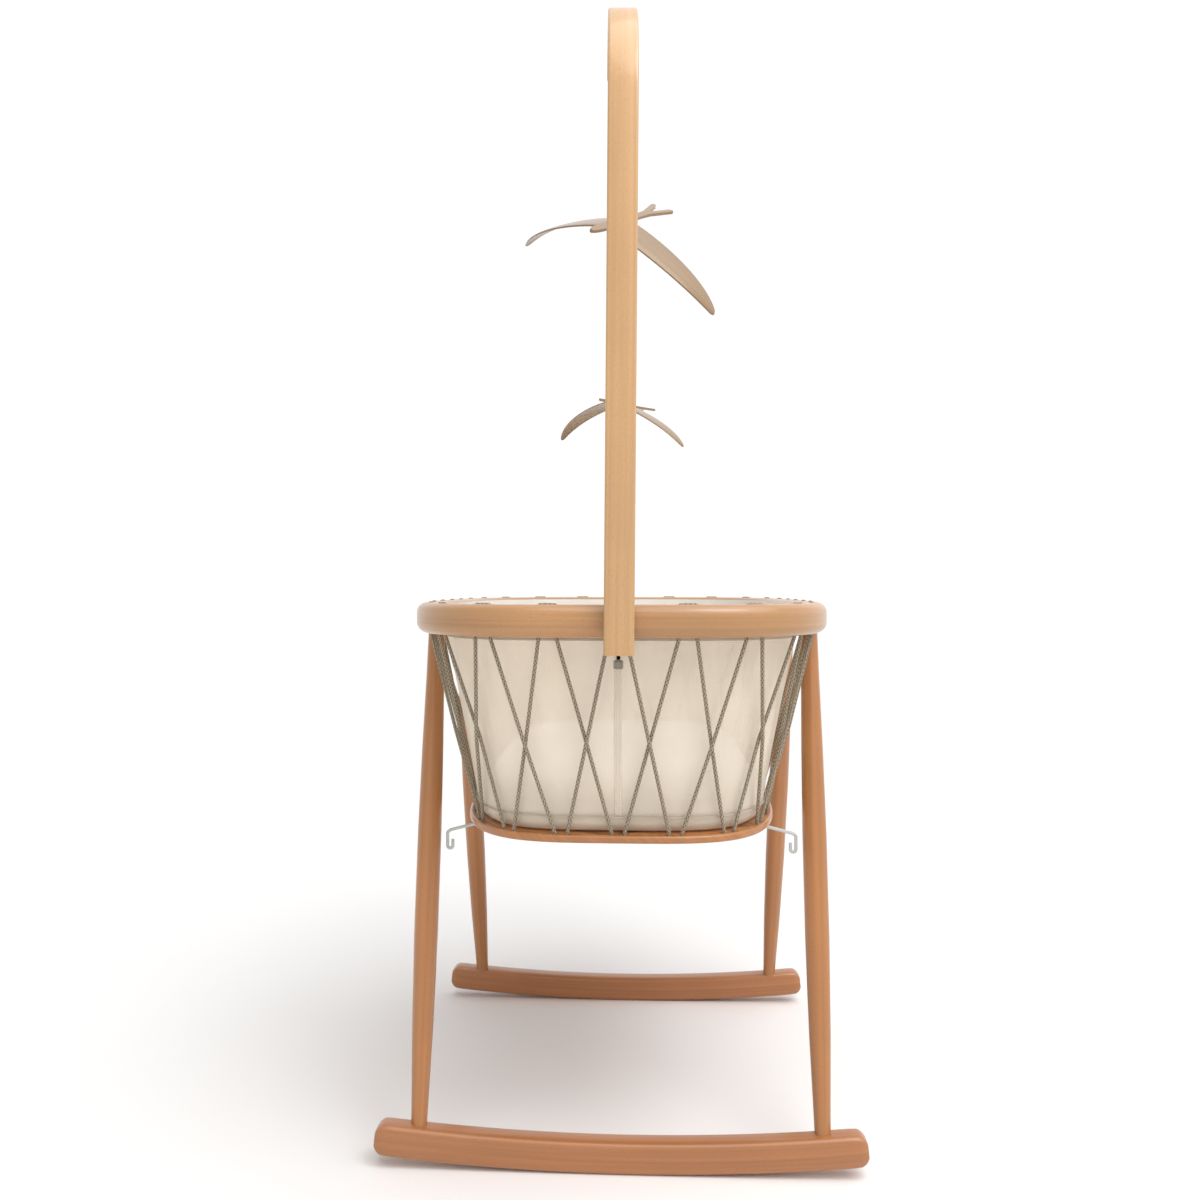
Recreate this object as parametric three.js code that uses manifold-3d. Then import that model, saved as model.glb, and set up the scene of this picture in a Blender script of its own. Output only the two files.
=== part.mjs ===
// Rocking bassinet on a four-legged stand: a laced basket under a bent-wood rim,
// with a clamped-on wooden crook that carries a two-bird mobile.
// Millimetres, +Z up, +Y along the basket away from the crook, floor at z = 0.
import * as THREE from 'three';
import { mergeVertices } from 'three/addons/utils/BufferGeometryUtils.js';
import Module from 'manifold-3d';

const wasm = await Module();
wasm.setup();

// ---------- driving dimensions ----------
const GAP = 0.3; // clearance kept between touching pieces
const HOLE_PAIRS = 28; // lacing hole pairs around the rim, and as many around the board
const STEPS_PER_PAIR = 3;
const STATIONS = HOLE_PAIRS * STEPS_PER_PAIR; // points around every basket outline

// The outlines are superellipses through the lacing holes.
const RIM = {
  halfWidth: 270, halfLength: 410, exponent: 3.5,
  top: 742, height: 40, thickness: 38, edge: 13, pairHalf: 11, grooveAt: 742,
};
const BOARD = {
  halfWidth: 208, halfLength: 361, exponent: 3.8,
  top: 455, height: 10, margin: 8, edge: 3, pairHalf: 8, grooveAt: 445,
};
const CORD = {
  radius: 2.4, sides: 8, holeRadius: 3.4, grooveDepth: 4.8, sunk: 1.4, endDrop: 5, crossingOffset: 2.9,
};

const LEG = {
  topX: 272, topY: 118, footX: 264.5, footY: 296, footZ: 32,
  radii: [[0, 10], [0.06, 11], [0.2, 14.2], [0.38, 16.3], [0.58, 16.5], [0.75, 15], [0.9, 12.8], [1, 12]],
};
const ROCKER = {
  y: 296, length: 650, height: 41.6, width: 32, radius: 3054, edge: 6, endRound: 13, facets: 17,
};
const STUD = { radius: 3, insertRadius: 5.5, intoRim: 22, intoLeg: 32 };
const ROCKER_SCREW = { radius: 2.6, headRadius: 4.8, headHeight: 4, intoLeg: 34, belowLeg: 14 };

const LINER = {
  wall: 1.6, rimGap: 0.8, boardInset: 6, hemTop: 738, floorRound: 14, hemHeight: 16, hemThickness: 1.2,
};
const MATTRESS = { height: 58, inset: 12, edge: 12 };

const CROOK = {
  width: 36, thickness: 14, foot: 683, bendCentre: 1340, bendRadius: 143, bendAngle: 124,
  edge: 3, x: 2.5, lean: 0.43, turn: 2.1,
};
const STRAP = { width: 15, thickness: 3, rimGap: 0.6, lip: 15, shelf: 27, shelfTop: 691 };
const CLAMP = {
  radius: 2.4, inset: 12.5, knobRadius: 5.8, knobTop: 675.8, knobHeight: 10.5, knobEdge: 1.5,
  padRadius: 7, padHeight: 3,
};
const STRAP_SCREW = { radius: 1.7, headRadius: 3.3, headHeight: 2.4, depth: 10, heights: [706, 730] };

const ROD = {
  radius: 2.3, y: 196, z: 430, endX: 243, endZ: 421.5, bendX: 205, drop: 26, hook: 7.4, hookRise: 9,
};
const SADDLE = { x: 150, width: 12, height: 19, length: 26 };
const SADDLE_TOP = BOARD.top - BOARD.height - GAP;
const SADDLE_SCREW = { radius: 1.8, headRadius: 3.4, headHeight: 2, reach: 6.5, spread: 8.5 };

const EYE = { ring: 3.6, wire: 0.8, shank: 8, drop: 5.1 };
const THREAD_RADIUS = 0.5;
// `balance` moves a bird so that its weight hangs straight under the thread.
const BIRDS = [
  { name: 'upper', scale: 1, z: 1258, heading: -124, pitch: -24, roll: -27, balance: [-0.15, -15.3] },
  { name: 'lower', scale: 0.643, z: 1014, heading: -123, pitch: -1, roll: -7, balance: [-1.2, -4.5] },
];
const BIRD = {
  nose: 72, noseHalf: 2.5, tailRoot: 45, bodyWidth: 17, blade: 2.4,
  span: 158, chord: 50, tipChord: 8, sweep: 26, droop: 82,
  prong: [[-72, 7], [-114, 18.5], [-118.5, 15.5], [-116.5, 11], [-78, 0]],
};

const COLOURS = {
  beech: [0xc69a6c, 0.5, 0], paleBeech: [0xe2bd93, 0.5, 0], darkBeech: [0xb07a52, 0.5, 0],
  cord: [0x7d7364, 0.9, 0], fabric: [0xd9cdbd, 0.95, 0], padding: [0xf1ece4, 0.95, 0],
  steel: [0xb9bcbd, 0.35, 1], zinc: [0x9a9da0, 0.4, 1], black: [0x17130f, 0.45, 1],
  brass: [0xb08d4f, 0.35, 1],
  rubber: [0x2a2826, 0.9, 0], thread: [0xf4f2ee, 0.6, 0],
};

// ---------- small helpers ----------
const v = (x, y, z) => new THREE.Vector3(x, y, z);
const degrees = THREE.MathUtils.degToRad;
const range = (count) => Array.from({ length: count }, (_, i) => i);

function addMesh(parent, name, geometry, [colour, roughness, metalness]) {
  const material = new THREE.MeshStandardMaterial({ color: colour, roughness, metalness });
  const mesh = new THREE.Mesh(geometry, material);
  mesh.name = name;
  parent.add(mesh);
  return mesh;
}

function solid(geometry) {
  const bare = geometry.index ? geometry.toNonIndexed() : geometry.clone();
  bare.deleteAttribute('normal');
  bare.deleteAttribute('uv');
  const merged = mergeVertices(bare, 1e-4);
  return new wasm.Manifold(new wasm.Mesh({
    numProp: 3,
    vertProperties: new Float32Array(merged.attributes.position.array),
    triVerts: new Uint32Array(merged.index.array),
  }));
}

function geometryOf(manifold) {
  const mesh = manifold.getMesh();
  const geometry = new THREE.BufferGeometry();
  geometry.setAttribute('position', new THREE.BufferAttribute(Float32Array.from(mesh.vertProperties), 3));
  geometry.setIndex(new THREE.BufferAttribute(Uint32Array.from(mesh.triVerts), 1));
  return geometry;
}

function cut(geometry, cutters) {
  const tool = cutters.map(solid).reduce((all, one) => all.add(one));
  return geometryOf(solid(geometry).subtract(tool));
}

function join(geometries) {
  return geometryOf(geometries.map(solid).reduce((all, one) => all.add(one)));
}

// A round bar from one point to another.
function bar(from, to, radius, sides = 12) {
  const along = to.clone().sub(from);
  const geometry = new THREE.CylinderGeometry(radius, radius, along.length(), sides);
  const turn = new THREE.Quaternion().setFromUnitVectors(v(0, 1, 0), along.clone().normalize());
  geometry.applyQuaternion(turn);
  return geometry.translate(...from.clone().add(to).multiplyScalar(0.5).toArray());
}

// A lathed solid whose axis runs from `base` along `direction`; profile holds [radius, distance].
function turned(profile, base, direction, sides) {
  const points = profile.map(([radius, distance]) => new THREE.Vector2(radius, distance));
  const geometry = new THREE.LatheGeometry(points, sides);
  const turn = new THREE.Quaternion().setFromUnitVectors(v(0, 1, 0), direction.clone().normalize());
  geometry.applyQuaternion(turn);
  return geometry.translate(base.x, base.y, base.z);
}

// A solid through rings of points that run anticlockwise seen from the side the rings advance to.
// A closed loft joins its last ring to its first; an open one is capped at both ends.
function loft(rings, closed = false) {
  const count = rings[0].length;
  const points = rings.flat();
  const triangles = [];
  const last = closed ? rings.length : rings.length - 1;
  for (let i = 0; i < last; i += 1) {
    const lower = i * count;
    const upper = ((i + 1) % rings.length) * count;
    for (let j = 0; j < count; j += 1) {
      const next = (j + 1) % count;
      triangles.push(lower + j, lower + next, upper + next, lower + j, upper + next, upper + j);
    }
  }
  if (!closed) {
    capRing(points, triangles, 0, count, true);
    capRing(points, triangles, (rings.length - 1) * count, count, false);
  }
  const geometry = new THREE.BufferGeometry().setFromPoints(points);
  geometry.setIndex(triangles);
  return geometry;
}

function capRing(points, triangles, start, count, flipped) {
  const centre = v(0, 0, 0);
  range(count).forEach((j) => centre.add(points[start + j]));
  const middle = points.push(centre.multiplyScalar(1 / count)) - 1;
  for (let j = 0; j < count; j += 1) {
    const next = (j + 1) % count;
    if (flipped) triangles.push(middle, start + next, start + j);
    else triangles.push(middle, start + j, start + next);
  }
}

// A round cord through a list of points, mitred at each bend, capped at both ends.
function tube(path, radius, sides) {
  const directions = path.slice(1).map((point, i) => point.clone().sub(path[i]).normalize());
  let side = Math.abs(directions[0].z) < 0.9 ? v(0, 0, 1) : v(1, 0, 0);
  side = side.cross(directions[0]).normalize();
  const rings = [];
  path.forEach((point, i) => {
    const before = directions[Math.max(i - 1, 0)];
    const after = directions[Math.min(i, directions.length - 1)];
    const mitre = before.clone().add(after).normalize();
    const other = before.clone().cross(side);
    rings.push(range(sides).map((k) => {
      const angle = (2 * Math.PI * k) / sides;
      const offset = side.clone().multiplyScalar(Math.cos(angle) * radius);
      offset.addScaledVector(other, Math.sin(angle) * radius);
      offset.addScaledVector(before, -offset.dot(mitre) / before.dot(mitre));
      return offset.add(point);
    }));
    side.applyQuaternion(new THREE.Quaternion().setFromUnitVectors(before, after)).normalize();
  });
  return loft(rings);
}

// ---------- basket outlines ----------
// Points at equal steps of arc around a superellipse, from the middle of the crook's end, anticlockwise.
function outline({ halfWidth, halfLength, exponent }) {
  const samples = 1440;
  const raw = range(samples + 1).map((i) => {
    const angle = (2 * Math.PI * i) / samples;
    const across = Math.abs(Math.sin(angle) / halfWidth) ** exponent;
    const along = Math.abs(Math.cos(angle) / halfLength) ** exponent;
    const reach = (across + along) ** (-1 / exponent);
    return v(reach * Math.sin(angle), -reach * Math.cos(angle), 0);
  });
  const arc = [0];
  raw.slice(1).forEach((point, i) => arc.push(arc[i] + point.distanceTo(raw[i])));
  return range(STATIONS).map((i) => {
    const target = (arc[samples] * i) / STATIONS;
    const k = Math.max(1, arc.findIndex((length) => length >= target));
    const point = raw[k - 1].clone().lerp(raw[k], (target - arc[k - 1]) / (arc[k] - arc[k - 1]));
    const slope = (value, half) => Math.sign(value) * (Math.abs(value / half) ** (exponent - 1)) / half;
    const normal = v(slope(point.x, halfWidth), slope(point.y, halfLength), 0).normalize();
    return { point, normal };
  });
}

const rimLine = outline(RIM);
const boardLine = outline(BOARD);

function ringAt(line, offset, z) {
  return line.map(({ point, normal }) => point.clone().addScaledVector(normal, offset).setZ(z));
}

// The two lacing holes of one pair, at the height asked for; side is -1 or +1 along the outline.
function hole(line, pair, side, pairHalf, z) {
  const { point, normal } = line[((pair + HOLE_PAIRS) % HOLE_PAIRS) * STEPS_PER_PAIR];
  const tangent = v(-normal.y, normal.x, 0);
  return point.clone().addScaledVector(tangent, side * pairHalf).setZ(z);
}

// Cutters for the hole pairs, and for the groove between the two holes of a pair: on the rim's top,
// and on the board's underside.
function lacingCutters(line, size) {
  const low = size.top - size.height - 5;
  const high = size.top + 5;
  return range(HOLE_PAIRS).flatMap((pair) => {
    const left = hole(line, pair, -1, size.pairHalf, low);
    const right = hole(line, pair, 1, size.pairHalf, low);
    const groove = new THREE.BoxGeometry(2 * size.pairHalf, 2 * CORD.holeRadius, 2 * CORD.grooveDepth);
    groove.rotateZ(Math.atan2(right.y - left.y, right.x - left.x));
    groove.translate((left.x + right.x) / 2, (left.y + right.y) / 2, size.grooveAt);
    return [
      bar(left, left.clone().setZ(high), CORD.holeRadius, 6),
      bar(right, right.clone().setZ(high), CORD.holeRadius, 6),
      groove,
    ];
  });
}

// The two pan-headed screws that go up through a rod saddle into the board.
function saddleScrews(sx, sy, grow) {
  const { radius, headRadius, headHeight, reach, spread } = SADDLE_SCREW;
  const face = headHeight + GAP;
  const length = face + SADDLE.height + GAP + reach;
  const profile = [
    [0, -grow * 2], [headRadius + grow, -grow * 2], [headRadius + grow, headHeight],
    [radius + grow, headHeight], [radius + grow, length + grow], [0, length + grow],
  ];
  return [-1, 1].map((side) => {
    const base = v(sx * SADDLE.x, sy * ROD.y + side * spread, SADDLE_TOP - SADDLE.height - face);
    return turned(profile, base, v(0, 0, 1), 8);
  });
}

// ---------- legs, their studs and screws ----------
const LEG_PLACES = [
  ['near_left', -1, -1], ['near_right', 1, -1], ['far_left', -1, 1], ['far_right', 1, 1],
];

function legAxis(sx, sy) {
  const foot = v(sx * LEG.footX, sy * LEG.footY, LEG.footZ);
  const top = v(sx * LEG.topX, sy * LEG.topY, RIM.top - RIM.height);
  return { foot, top, up: top.clone().sub(foot).normalize(), length: top.distanceTo(foot) };
}

const along = (axis, distance) => axis.top.clone().addScaledVector(axis.up, distance);

function legGeometry(sx, sy) {
  const axis = legAxis(sx, sy);
  const spare = 12;
  const profile = LEG.radii.map(([share, radius]) => [radius, share * axis.length]);
  profile.unshift([0, -spare], [LEG.radii[0][1], -spare]);
  profile.push([profile.at(-1)[0], axis.length + spare], [0, axis.length + spare]);
  const blank = turned(profile, axis.foot, axis.up, 12);
  const above = new THREE.BoxGeometry(80, 80, 60);
  above.translate(axis.top.x, axis.top.y, RIM.top - RIM.height - GAP + 30);
  const screwTop = axis.foot.clone().addScaledVector(axis.up, ROCKER_SCREW.intoLeg + 2);
  const below = axis.foot.clone().addScaledVector(axis.up, -30);
  return cut(blank, [
    above,
    rockerProfile(GAP, 90).translate(0, axis.foot.y, 0),
    bar(along(axis, -STUD.intoLeg - 2), along(axis, 10), STUD.radius + GAP),
    bar(below, screwTop, ROCKER_SCREW.radius + GAP),
  ]);
}

function addLegHardware(parent, name, sx, sy) {
  const axis = legAxis(sx, sy);
  const stud = bar(along(axis, -STUD.intoLeg), along(axis, STUD.intoRim - 3), STUD.radius);
  addMesh(parent, `leg_stud_${name}`, stud, COLOURS.steel);
  const sleeve = [
    [STUD.radius + GAP, 3], [STUD.insertRadius, 3], [STUD.insertRadius, STUD.intoRim],
    [STUD.radius + GAP, STUD.intoRim], [STUD.radius + GAP, 3],
  ];
  addMesh(parent, `rim_insert_${name}`, turned(sleeve, axis.top, axis.up, 12), COLOURS.brass);
  const head = ROCKER_SCREW.headRadius;
  const base = screwBase(axis);
  const profile = [
    [0, 0], [head, 0], [head, ROCKER_SCREW.headHeight], [ROCKER_SCREW.radius, ROCKER_SCREW.headHeight],
    [ROCKER_SCREW.radius, ROCKER_SCREW.intoLeg + base.distanceTo(axis.foot)],
    [0, ROCKER_SCREW.intoLeg + base.distanceTo(axis.foot)],
  ];
  addMesh(parent, `rocker_screw_${name}`, turned(profile, base, axis.up, 12), COLOURS.zinc);
}

// Underside of the rocker screw's head, sunk into the rocker's lower face on the leg's axis.
function screwBase(axis) {
  return axis.foot.clone().addScaledVector(axis.up, -ROCKER_SCREW.belowLeg);
}

// ---------- rockers ----------
// Side profile in X and Z, extruded across Y; `grow` raises the top face by that much.
function rockerProfile(grow, width) {
  const half = ROCKER.length / 2;
  const sweep = Math.asin(half / ROCKER.radius);
  const step = (2 * sweep) / ROCKER.facets;
  const outer = ROCKER.radius / Math.cos(step / 2);
  const inner = ROCKER.radius - ROCKER.height - grow;
  const at = (radius, angle) => [radius * Math.sin(angle), ROCKER.radius - radius * Math.cos(angle)];
  const round = ROCKER.endRound / ROCKER.radius;
  const cornerSteps = [0.35, 0.75];
  const points = [];
  const angles = range(ROCKER.facets + 1).map((i) => -sweep + i * step);
  const inset = (angle) => THREE.MathUtils.clamp(angle, -sweep + round, sweep - round);
  angles.forEach((angle) => points.push(at(outer, inset(angle))));
  cornerSteps.forEach((share) => points.push(
    at(ROCKER.radius - ROCKER.endRound * share * share, sweep - round * (1 - share) ** 2)));
  points.push(at(ROCKER.radius - ROCKER.endRound, sweep));
  points.push(at(inner + ROCKER.endRound, sweep));
  cornerSteps.toReversed().forEach((share) => points.push(
    at(inner + ROCKER.endRound * share * share, sweep - round * (1 - share) ** 2)));
  angles.toReversed().forEach((angle) => points.push(at(inner, inset(angle))));
  cornerSteps.forEach((share) => points.push(
    at(inner + ROCKER.endRound * share * share, -sweep + round * (1 - share) ** 2)));
  points.push(at(inner + ROCKER.endRound, -sweep));
  points.push(at(ROCKER.radius - ROCKER.endRound, -sweep));
  cornerSteps.toReversed().forEach((share) => points.push(
    at(ROCKER.radius - ROCKER.endRound * share * share, -sweep + round * (1 - share) ** 2)));
  const shape = new THREE.Shape(points.map(([x, z]) => new THREE.Vector2(x, z)));
  const edge = ROCKER.edge;
  const geometry = new THREE.ExtrudeGeometry(shape, {
    depth: width - 2 * edge, bevelEnabled: true, bevelThickness: edge, bevelSize: edge,
    bevelOffset: -edge, bevelSegments: 1, steps: 1,
  });
  geometry.rotateX(Math.PI / 2);
  return geometry.translate(0, width / 2 - edge, 0);
}

function rockerGeometry(sy) {
  const blank = rockerProfile(0, ROCKER.width).translate(0, sy * ROCKER.y, 0);
  const cutters = [-1, 1].flatMap((sx) => {
    const axis = legAxis(sx, sy);
    const head = screwBase(axis).addScaledVector(axis.up, ROCKER_SCREW.headHeight + GAP);
    const below = head.clone().addScaledVector(axis.up, -40);
    const above = head.clone().addScaledVector(axis.up, 60);
    return [
      bar(below, head, ROCKER_SCREW.headRadius + GAP),
      bar(below, above, ROCKER_SCREW.radius + GAP),
    ];
  });
  return cut(blank, cutters);
}

// ---------- rim, board, lacing ----------
function rimGeometry() {
  const half = RIM.thickness / 2;
  const low = RIM.top - RIM.height;
  const bend = RIM.edge * (1 - Math.SQRT1_2);
  const section = [
    [half - RIM.edge, low], [half - bend, low + bend], [half, low + RIM.edge],
    [half, RIM.top - RIM.edge], [half - bend, RIM.top - bend], [half - RIM.edge, RIM.top],
    [RIM.edge - half, RIM.top], [bend - half, RIM.top - bend], [-half, RIM.top - RIM.edge],
    [-half, low + RIM.edge], [bend - half, low + bend], [RIM.edge - half, low],
  ];
  const blank = loft(section.map(([offset, z]) => ringAt(rimLine, offset, z)), true);
  const sockets = LEG_PLACES.map(([, sx, sy]) => {
    const axis = legAxis(sx, sy);
    return bar(along(axis, -10), along(axis, STUD.intoRim + GAP), STUD.insertRadius + GAP);
  });
  return cut(blank, [...lacingCutters(rimLine, RIM), ...sockets]);
}

function boardGeometry() {
  const low = BOARD.top - BOARD.height;
  const edge = BOARD.edge;
  const rings = [
    ringAt(boardLine, BOARD.margin - edge, low), ringAt(boardLine, BOARD.margin, low + edge),
    ringAt(boardLine, BOARD.margin, BOARD.top - edge), ringAt(boardLine, BOARD.margin - edge, BOARD.top),
  ];
  const screws = [-1, 1].flatMap((sx) => [-1, 1].flatMap((sy) => saddleScrews(sx, sy, GAP)));
  return cut(loft(rings), [...lacingCutters(boardLine, BOARD), ...screws]);
}

// One run of cord: over the rim at every second pair, under the board at the pairs between.
// `first` is the board pair where it starts; `outward` moves its crossings off the other cord's.
function lacingPath(first, outward) {
  const under = BOARD.top - BOARD.height + CORD.sunk;
  const over = RIM.top - CORD.sunk;
  const start = boardHole(first, 1);
  const path = [start.clone().setZ(under - CORD.endDrop), start];
  for (let pair = first; pair < first + HOLE_PAIRS; pair += 2) {
    const left = rimHole(pair + 1, -1);
    const right = rimHole(pair + 1, 1);
    const down = boardHole(pair + 2, -1);
    path.push(crossing(pair, outward), left, left.clone().setZ(over));
    path.push(right.clone().setZ(over), right, crossing(pair + 1, outward), down);
    const next = boardHole(pair + 2, 1);
    if (pair + 2 < first + HOLE_PAIRS) path.push(down.clone().setZ(under), next.clone().setZ(under), next);
    else path.push(down.clone().setZ(under - CORD.endDrop));
  }
  return path;
}

// Bends of the cord just below the rim's holes and just above the board's.
const rimHole = (pair, side) => hole(rimLine, pair, side, RIM.pairHalf, RIM.top - RIM.height - 1.5);
const boardHole = (pair, side) => hole(boardLine, pair, side, BOARD.pairHalf, BOARD.top + 1.5);

// Midway between the rising and the falling run of two neighbouring pairs, where they pass each other,
// moved in or out so that the two cords lie side by side.
function crossing(pair, outward) {
  const up = [boardHole(pair, 1), rimHole(pair + 1, -1)];
  const down = [rimHole(pair, 1), boardHole(pair + 1, -1)];
  const point = nearestPoint(...up, ...down).lerp(nearestPoint(...down, ...up), 0.5);
  const out = down[0].clone().sub(down[1]).cross(up[1].clone().sub(up[0])).normalize();
  return point.addScaledVector(out, outward * CORD.crossingOffset);
}

// The point of line a0-a1 nearest to line b0-b1.
function nearestPoint(a0, a1, b0, b1) {
  const u = a1.clone().sub(a0);
  const w = b1.clone().sub(b0);
  const r = a0.clone().sub(b0);
  const share = (u.dot(w) * w.dot(r) - w.dot(w) * u.dot(r)) / (u.dot(u) * w.dot(w) - u.dot(w) ** 2);
  return a0.clone().addScaledVector(u, share);
}

// ---------- liner and mattress ----------
const WALL_LOW = BOARD.top + 0.5;
const WALL_HIGH = RIM.top - RIM.height;

// The liner's outer face at height z, moved in by `inset`.
function linerRing(z, inset) {
  const share = THREE.MathUtils.clamp((z - WALL_LOW) / (WALL_HIGH - WALL_LOW), 0, 1);
  const low = ringAt(boardLine, -LINER.boardInset - inset, z);
  const high = ringAt(rimLine, -RIM.thickness / 2 - LINER.rimGap - inset, z);
  const ring = low.map((point, i) => point.clone().lerp(high[i], share));
  return ring.filter((_, i) => i % 2 === 0);
}

function linerGeometry() {
  const wall = LINER.wall;
  const round = LINER.floorRound;
  const heights = [WALL_LOW + round, 540, 620, WALL_HIGH, LINER.hemTop];
  const outer = [linerRing(WALL_LOW, round), linerRing(WALL_LOW + round * 0.3, round * 0.3)];
  heights.forEach((z) => outer.push(linerRing(z, 0)));
  const inner = heights.toReversed().map((z) => linerRing(z, wall));
  inner.push(linerRing(WALL_LOW + round * 0.3 + wall * 0.7, round * 0.3 + wall * 0.7));
  inner.push(linerRing(WALL_LOW + wall, round));
  return loft([...outer, ...inner]);
}

function hemGeometry() {
  const near = LINER.wall + GAP;
  const far = near + LINER.hemThickness;
  const low = LINER.hemTop - LINER.hemHeight;
  const high = LINER.hemTop;
  const corners = [[low, near], [high, near], [high, far], [low, far]];
  return loft(corners.map(([z, inset]) => linerRing(z, inset)), true);
}

function mattressGeometry() {
  const low = WALL_LOW + LINER.wall + 0.6;
  const high = low + MATTRESS.height;
  const edge = MATTRESS.edge;
  const at = (offset, z) => ringAt(boardLine, -LINER.boardInset - MATTRESS.inset + offset, z)
    .filter((_, i) => i % 2 === 0);
  return loft([
    at(-edge, low), at(-edge * 0.3, low + edge * 0.3), at(0, low + edge),
    at(0, high - edge), at(-edge * 0.3, high - edge * 0.3), at(-edge, high),
  ]);
}

// ---------- crook ----------
// The crook's own frame: origin at the floor under the middle of its strip, strip facing Y.
function crookFrames() {
  const up = v(0, 0, 1);
  const frames = [{ point: v(0, 0, CROOK.foot), tangent: up, width: 1 }];
  const steps = 16;
  range(steps + 1).forEach((i) => {
    const angle = degrees((CROOK.bendAngle * i) / steps);
    const y = CROOK.bendRadius * (1 - Math.cos(angle));
    const z = CROOK.bendCentre + CROOK.bendRadius * Math.sin(angle);
    frames.push({ point: v(0, y, z), tangent: v(0, Math.sin(angle), Math.cos(angle)), width: 1 });
  });
  const { point, tangent } = frames.at(-1);
  [[7, 0.94], [12, 0.8], [15.5, 0.55], [17, 0.25]].forEach(([reach, width]) => {
    frames.push({ point: point.clone().addScaledVector(tangent, reach), tangent, width });
  });
  return frames;
}

function crookGeometry() {
  const edge = CROOK.edge;
  const y = CROOK.thickness / 2;
  const rings = crookFrames().map(({ point, tangent, width }) => {
    const x = (CROOK.width / 2) * width;
    const soft = Math.min(edge, x * 0.6);
    const across = v(1, 0, 0);
    const back = tangent.clone().cross(across);
    const corners = [
      [-x + soft, -y], [x - soft, -y], [x, -y + edge], [x, y - edge],
      [x - soft, y], [-x + soft, y], [-x, y - edge], [-x, -y + edge],
    ];
    return corners.map(([a, b]) => point.clone().addScaledVector(across, a).addScaledVector(back, b));
  });
  return loft(rings);
}

const RIM_FACE = RIM.halfLength + RIM.thickness / 2;
const CROOK_Y = -(RIM_FACE + STRAP.rimGap + STRAP.thickness + GAP + CROOK.thickness / 2);

// Strap shaped like a square bracket: lip over the rim, web against the crook, shelf under the rim.
function strapGeometry() {
  const web = CROOK.thickness / 2 + GAP;
  const lipTop = RIM.top + GAP * 2 + STRAP.thickness;
  const shelfLow = STRAP.shelfTop - STRAP.thickness;
  const inside = web + STRAP.thickness;
  const corners = [
    [web, shelfLow], [web + STRAP.shelf, shelfLow],
    [web + STRAP.shelf, STRAP.shelfTop], [inside, STRAP.shelfTop],
    [inside, lipTop - STRAP.thickness], [inside + STRAP.lip, lipTop - STRAP.thickness],
    [inside + STRAP.lip, lipTop], [web, lipTop],
  ];
  const shape = new THREE.Shape(corners.map(([y, z]) => new THREE.Vector2(y, z)));
  const blank = new THREE.ExtrudeGeometry(shape, { depth: STRAP.width, bevelEnabled: false });
  blank.rotateX(Math.PI / 2).rotateZ(Math.PI / 2).translate(-STRAP.width / 2, 0, 0);
  const axis = clampY();
  return cut(blank, [
    bar(v(0, axis, shelfLow - 5), v(0, axis, STRAP.shelfTop + 5), CLAMP.radius + GAP),
    ...STRAP_SCREW.heights.map((z) => strapScrew(z, GAP)),
  ]);
}

const clampY = () => -CROOK_Y - RIM_FACE + CLAMP.inset;

// Countersunk screw through the strap's web into the crook.
function strapScrew(z, grow) {
  const neck = CROOK.thickness / 2 + GAP;
  const { radius, headRadius, headHeight, depth } = STRAP_SCREW;
  const top = depth + STRAP.thickness - 0.2 + grow * 2;
  const profile = [
    [0, -grow], [radius + grow, -grow], [radius + grow, depth - 0.2],
    [headRadius + grow, depth + headHeight], [headRadius + grow, top], [0, top],
  ];
  return turned(profile, v(0, neck - depth, z), v(0, 1, 0), 12);
}

function addClamp(parent) {
  const y = clampY();
  const padTop = RIM.top - RIM.height - 0.6;
  const padLow = padTop - CLAMP.padHeight;
  addMesh(parent, 'clamp_pad', bar(v(0, y, padLow), v(0, y, padTop), CLAMP.padRadius, 20), COLOURS.rubber);
  const screw = bar(v(0, y, CLAMP.knobTop + GAP), v(0, y, padLow - GAP), CLAMP.radius);
  addMesh(parent, 'clamp_screw', screw, COLOURS.black);
  const { knobRadius, knobHeight, knobEdge } = CLAMP;
  const profile = [
    [0, 0], [knobRadius - knobEdge, 0], [knobRadius, knobEdge], [knobRadius, knobHeight - knobEdge],
    [knobRadius - knobEdge, knobHeight], [0, knobHeight],
  ];
  const foot = v(0, y, CLAMP.knobTop - knobHeight);
  addMesh(parent, 'clamp_knob', turned(profile, foot, v(0, 0, 1), 16), COLOURS.zinc);
}

// The crook stands a little out of true: it leans about Y and turns about Z at the rim's height.
function addCrook(parent) {
  const crook = new THREE.Group();
  const lean = degrees(CROOK.lean);
  crook.rotation.set(0, lean, degrees(CROOK.turn), 'ZYX');
  crook.position.set(CROOK.x - RIM.top * Math.sin(lean), CROOK_Y, 0);
  parent.add(crook);
  addMesh(crook, 'crook', cut(crookGeometry(), crookCutters()), COLOURS.paleBeech);
  addMesh(crook, 'clamp_strap', strapGeometry(), COLOURS.steel);
  STRAP_SCREW.heights.forEach((z, i) => {
    addMesh(crook, `strap_screw_${i + 1}`, strapScrew(z, 0), COLOURS.zinc);
  });
  addClamp(crook);
  const eye = eyePoint();
  addMesh(crook, 'screw_eye', eyeGeometry(eye), COLOURS.brass);
  const ringFoot = v(0, eye.y, eye.z - EYE.drop - EYE.ring - EYE.wire - GAP);
  parent.updateMatrixWorld(true);
  addMobile(parent, crook.localToWorld(ringFoot));
}

const crookCutters = () => [...STRAP_SCREW.heights.map((z) => strapScrew(z, GAP)), eyeSocket()];

// Where the screw eye leaves the underside of the crook's tip.
function eyePoint() {
  const tip = crookFrames().at(-3);
  const back = tip.tangent.clone().cross(v(1, 0, 0));
  return tip.point.clone().addScaledVector(back, CROOK.thickness / 2).setX(0);
}

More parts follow.
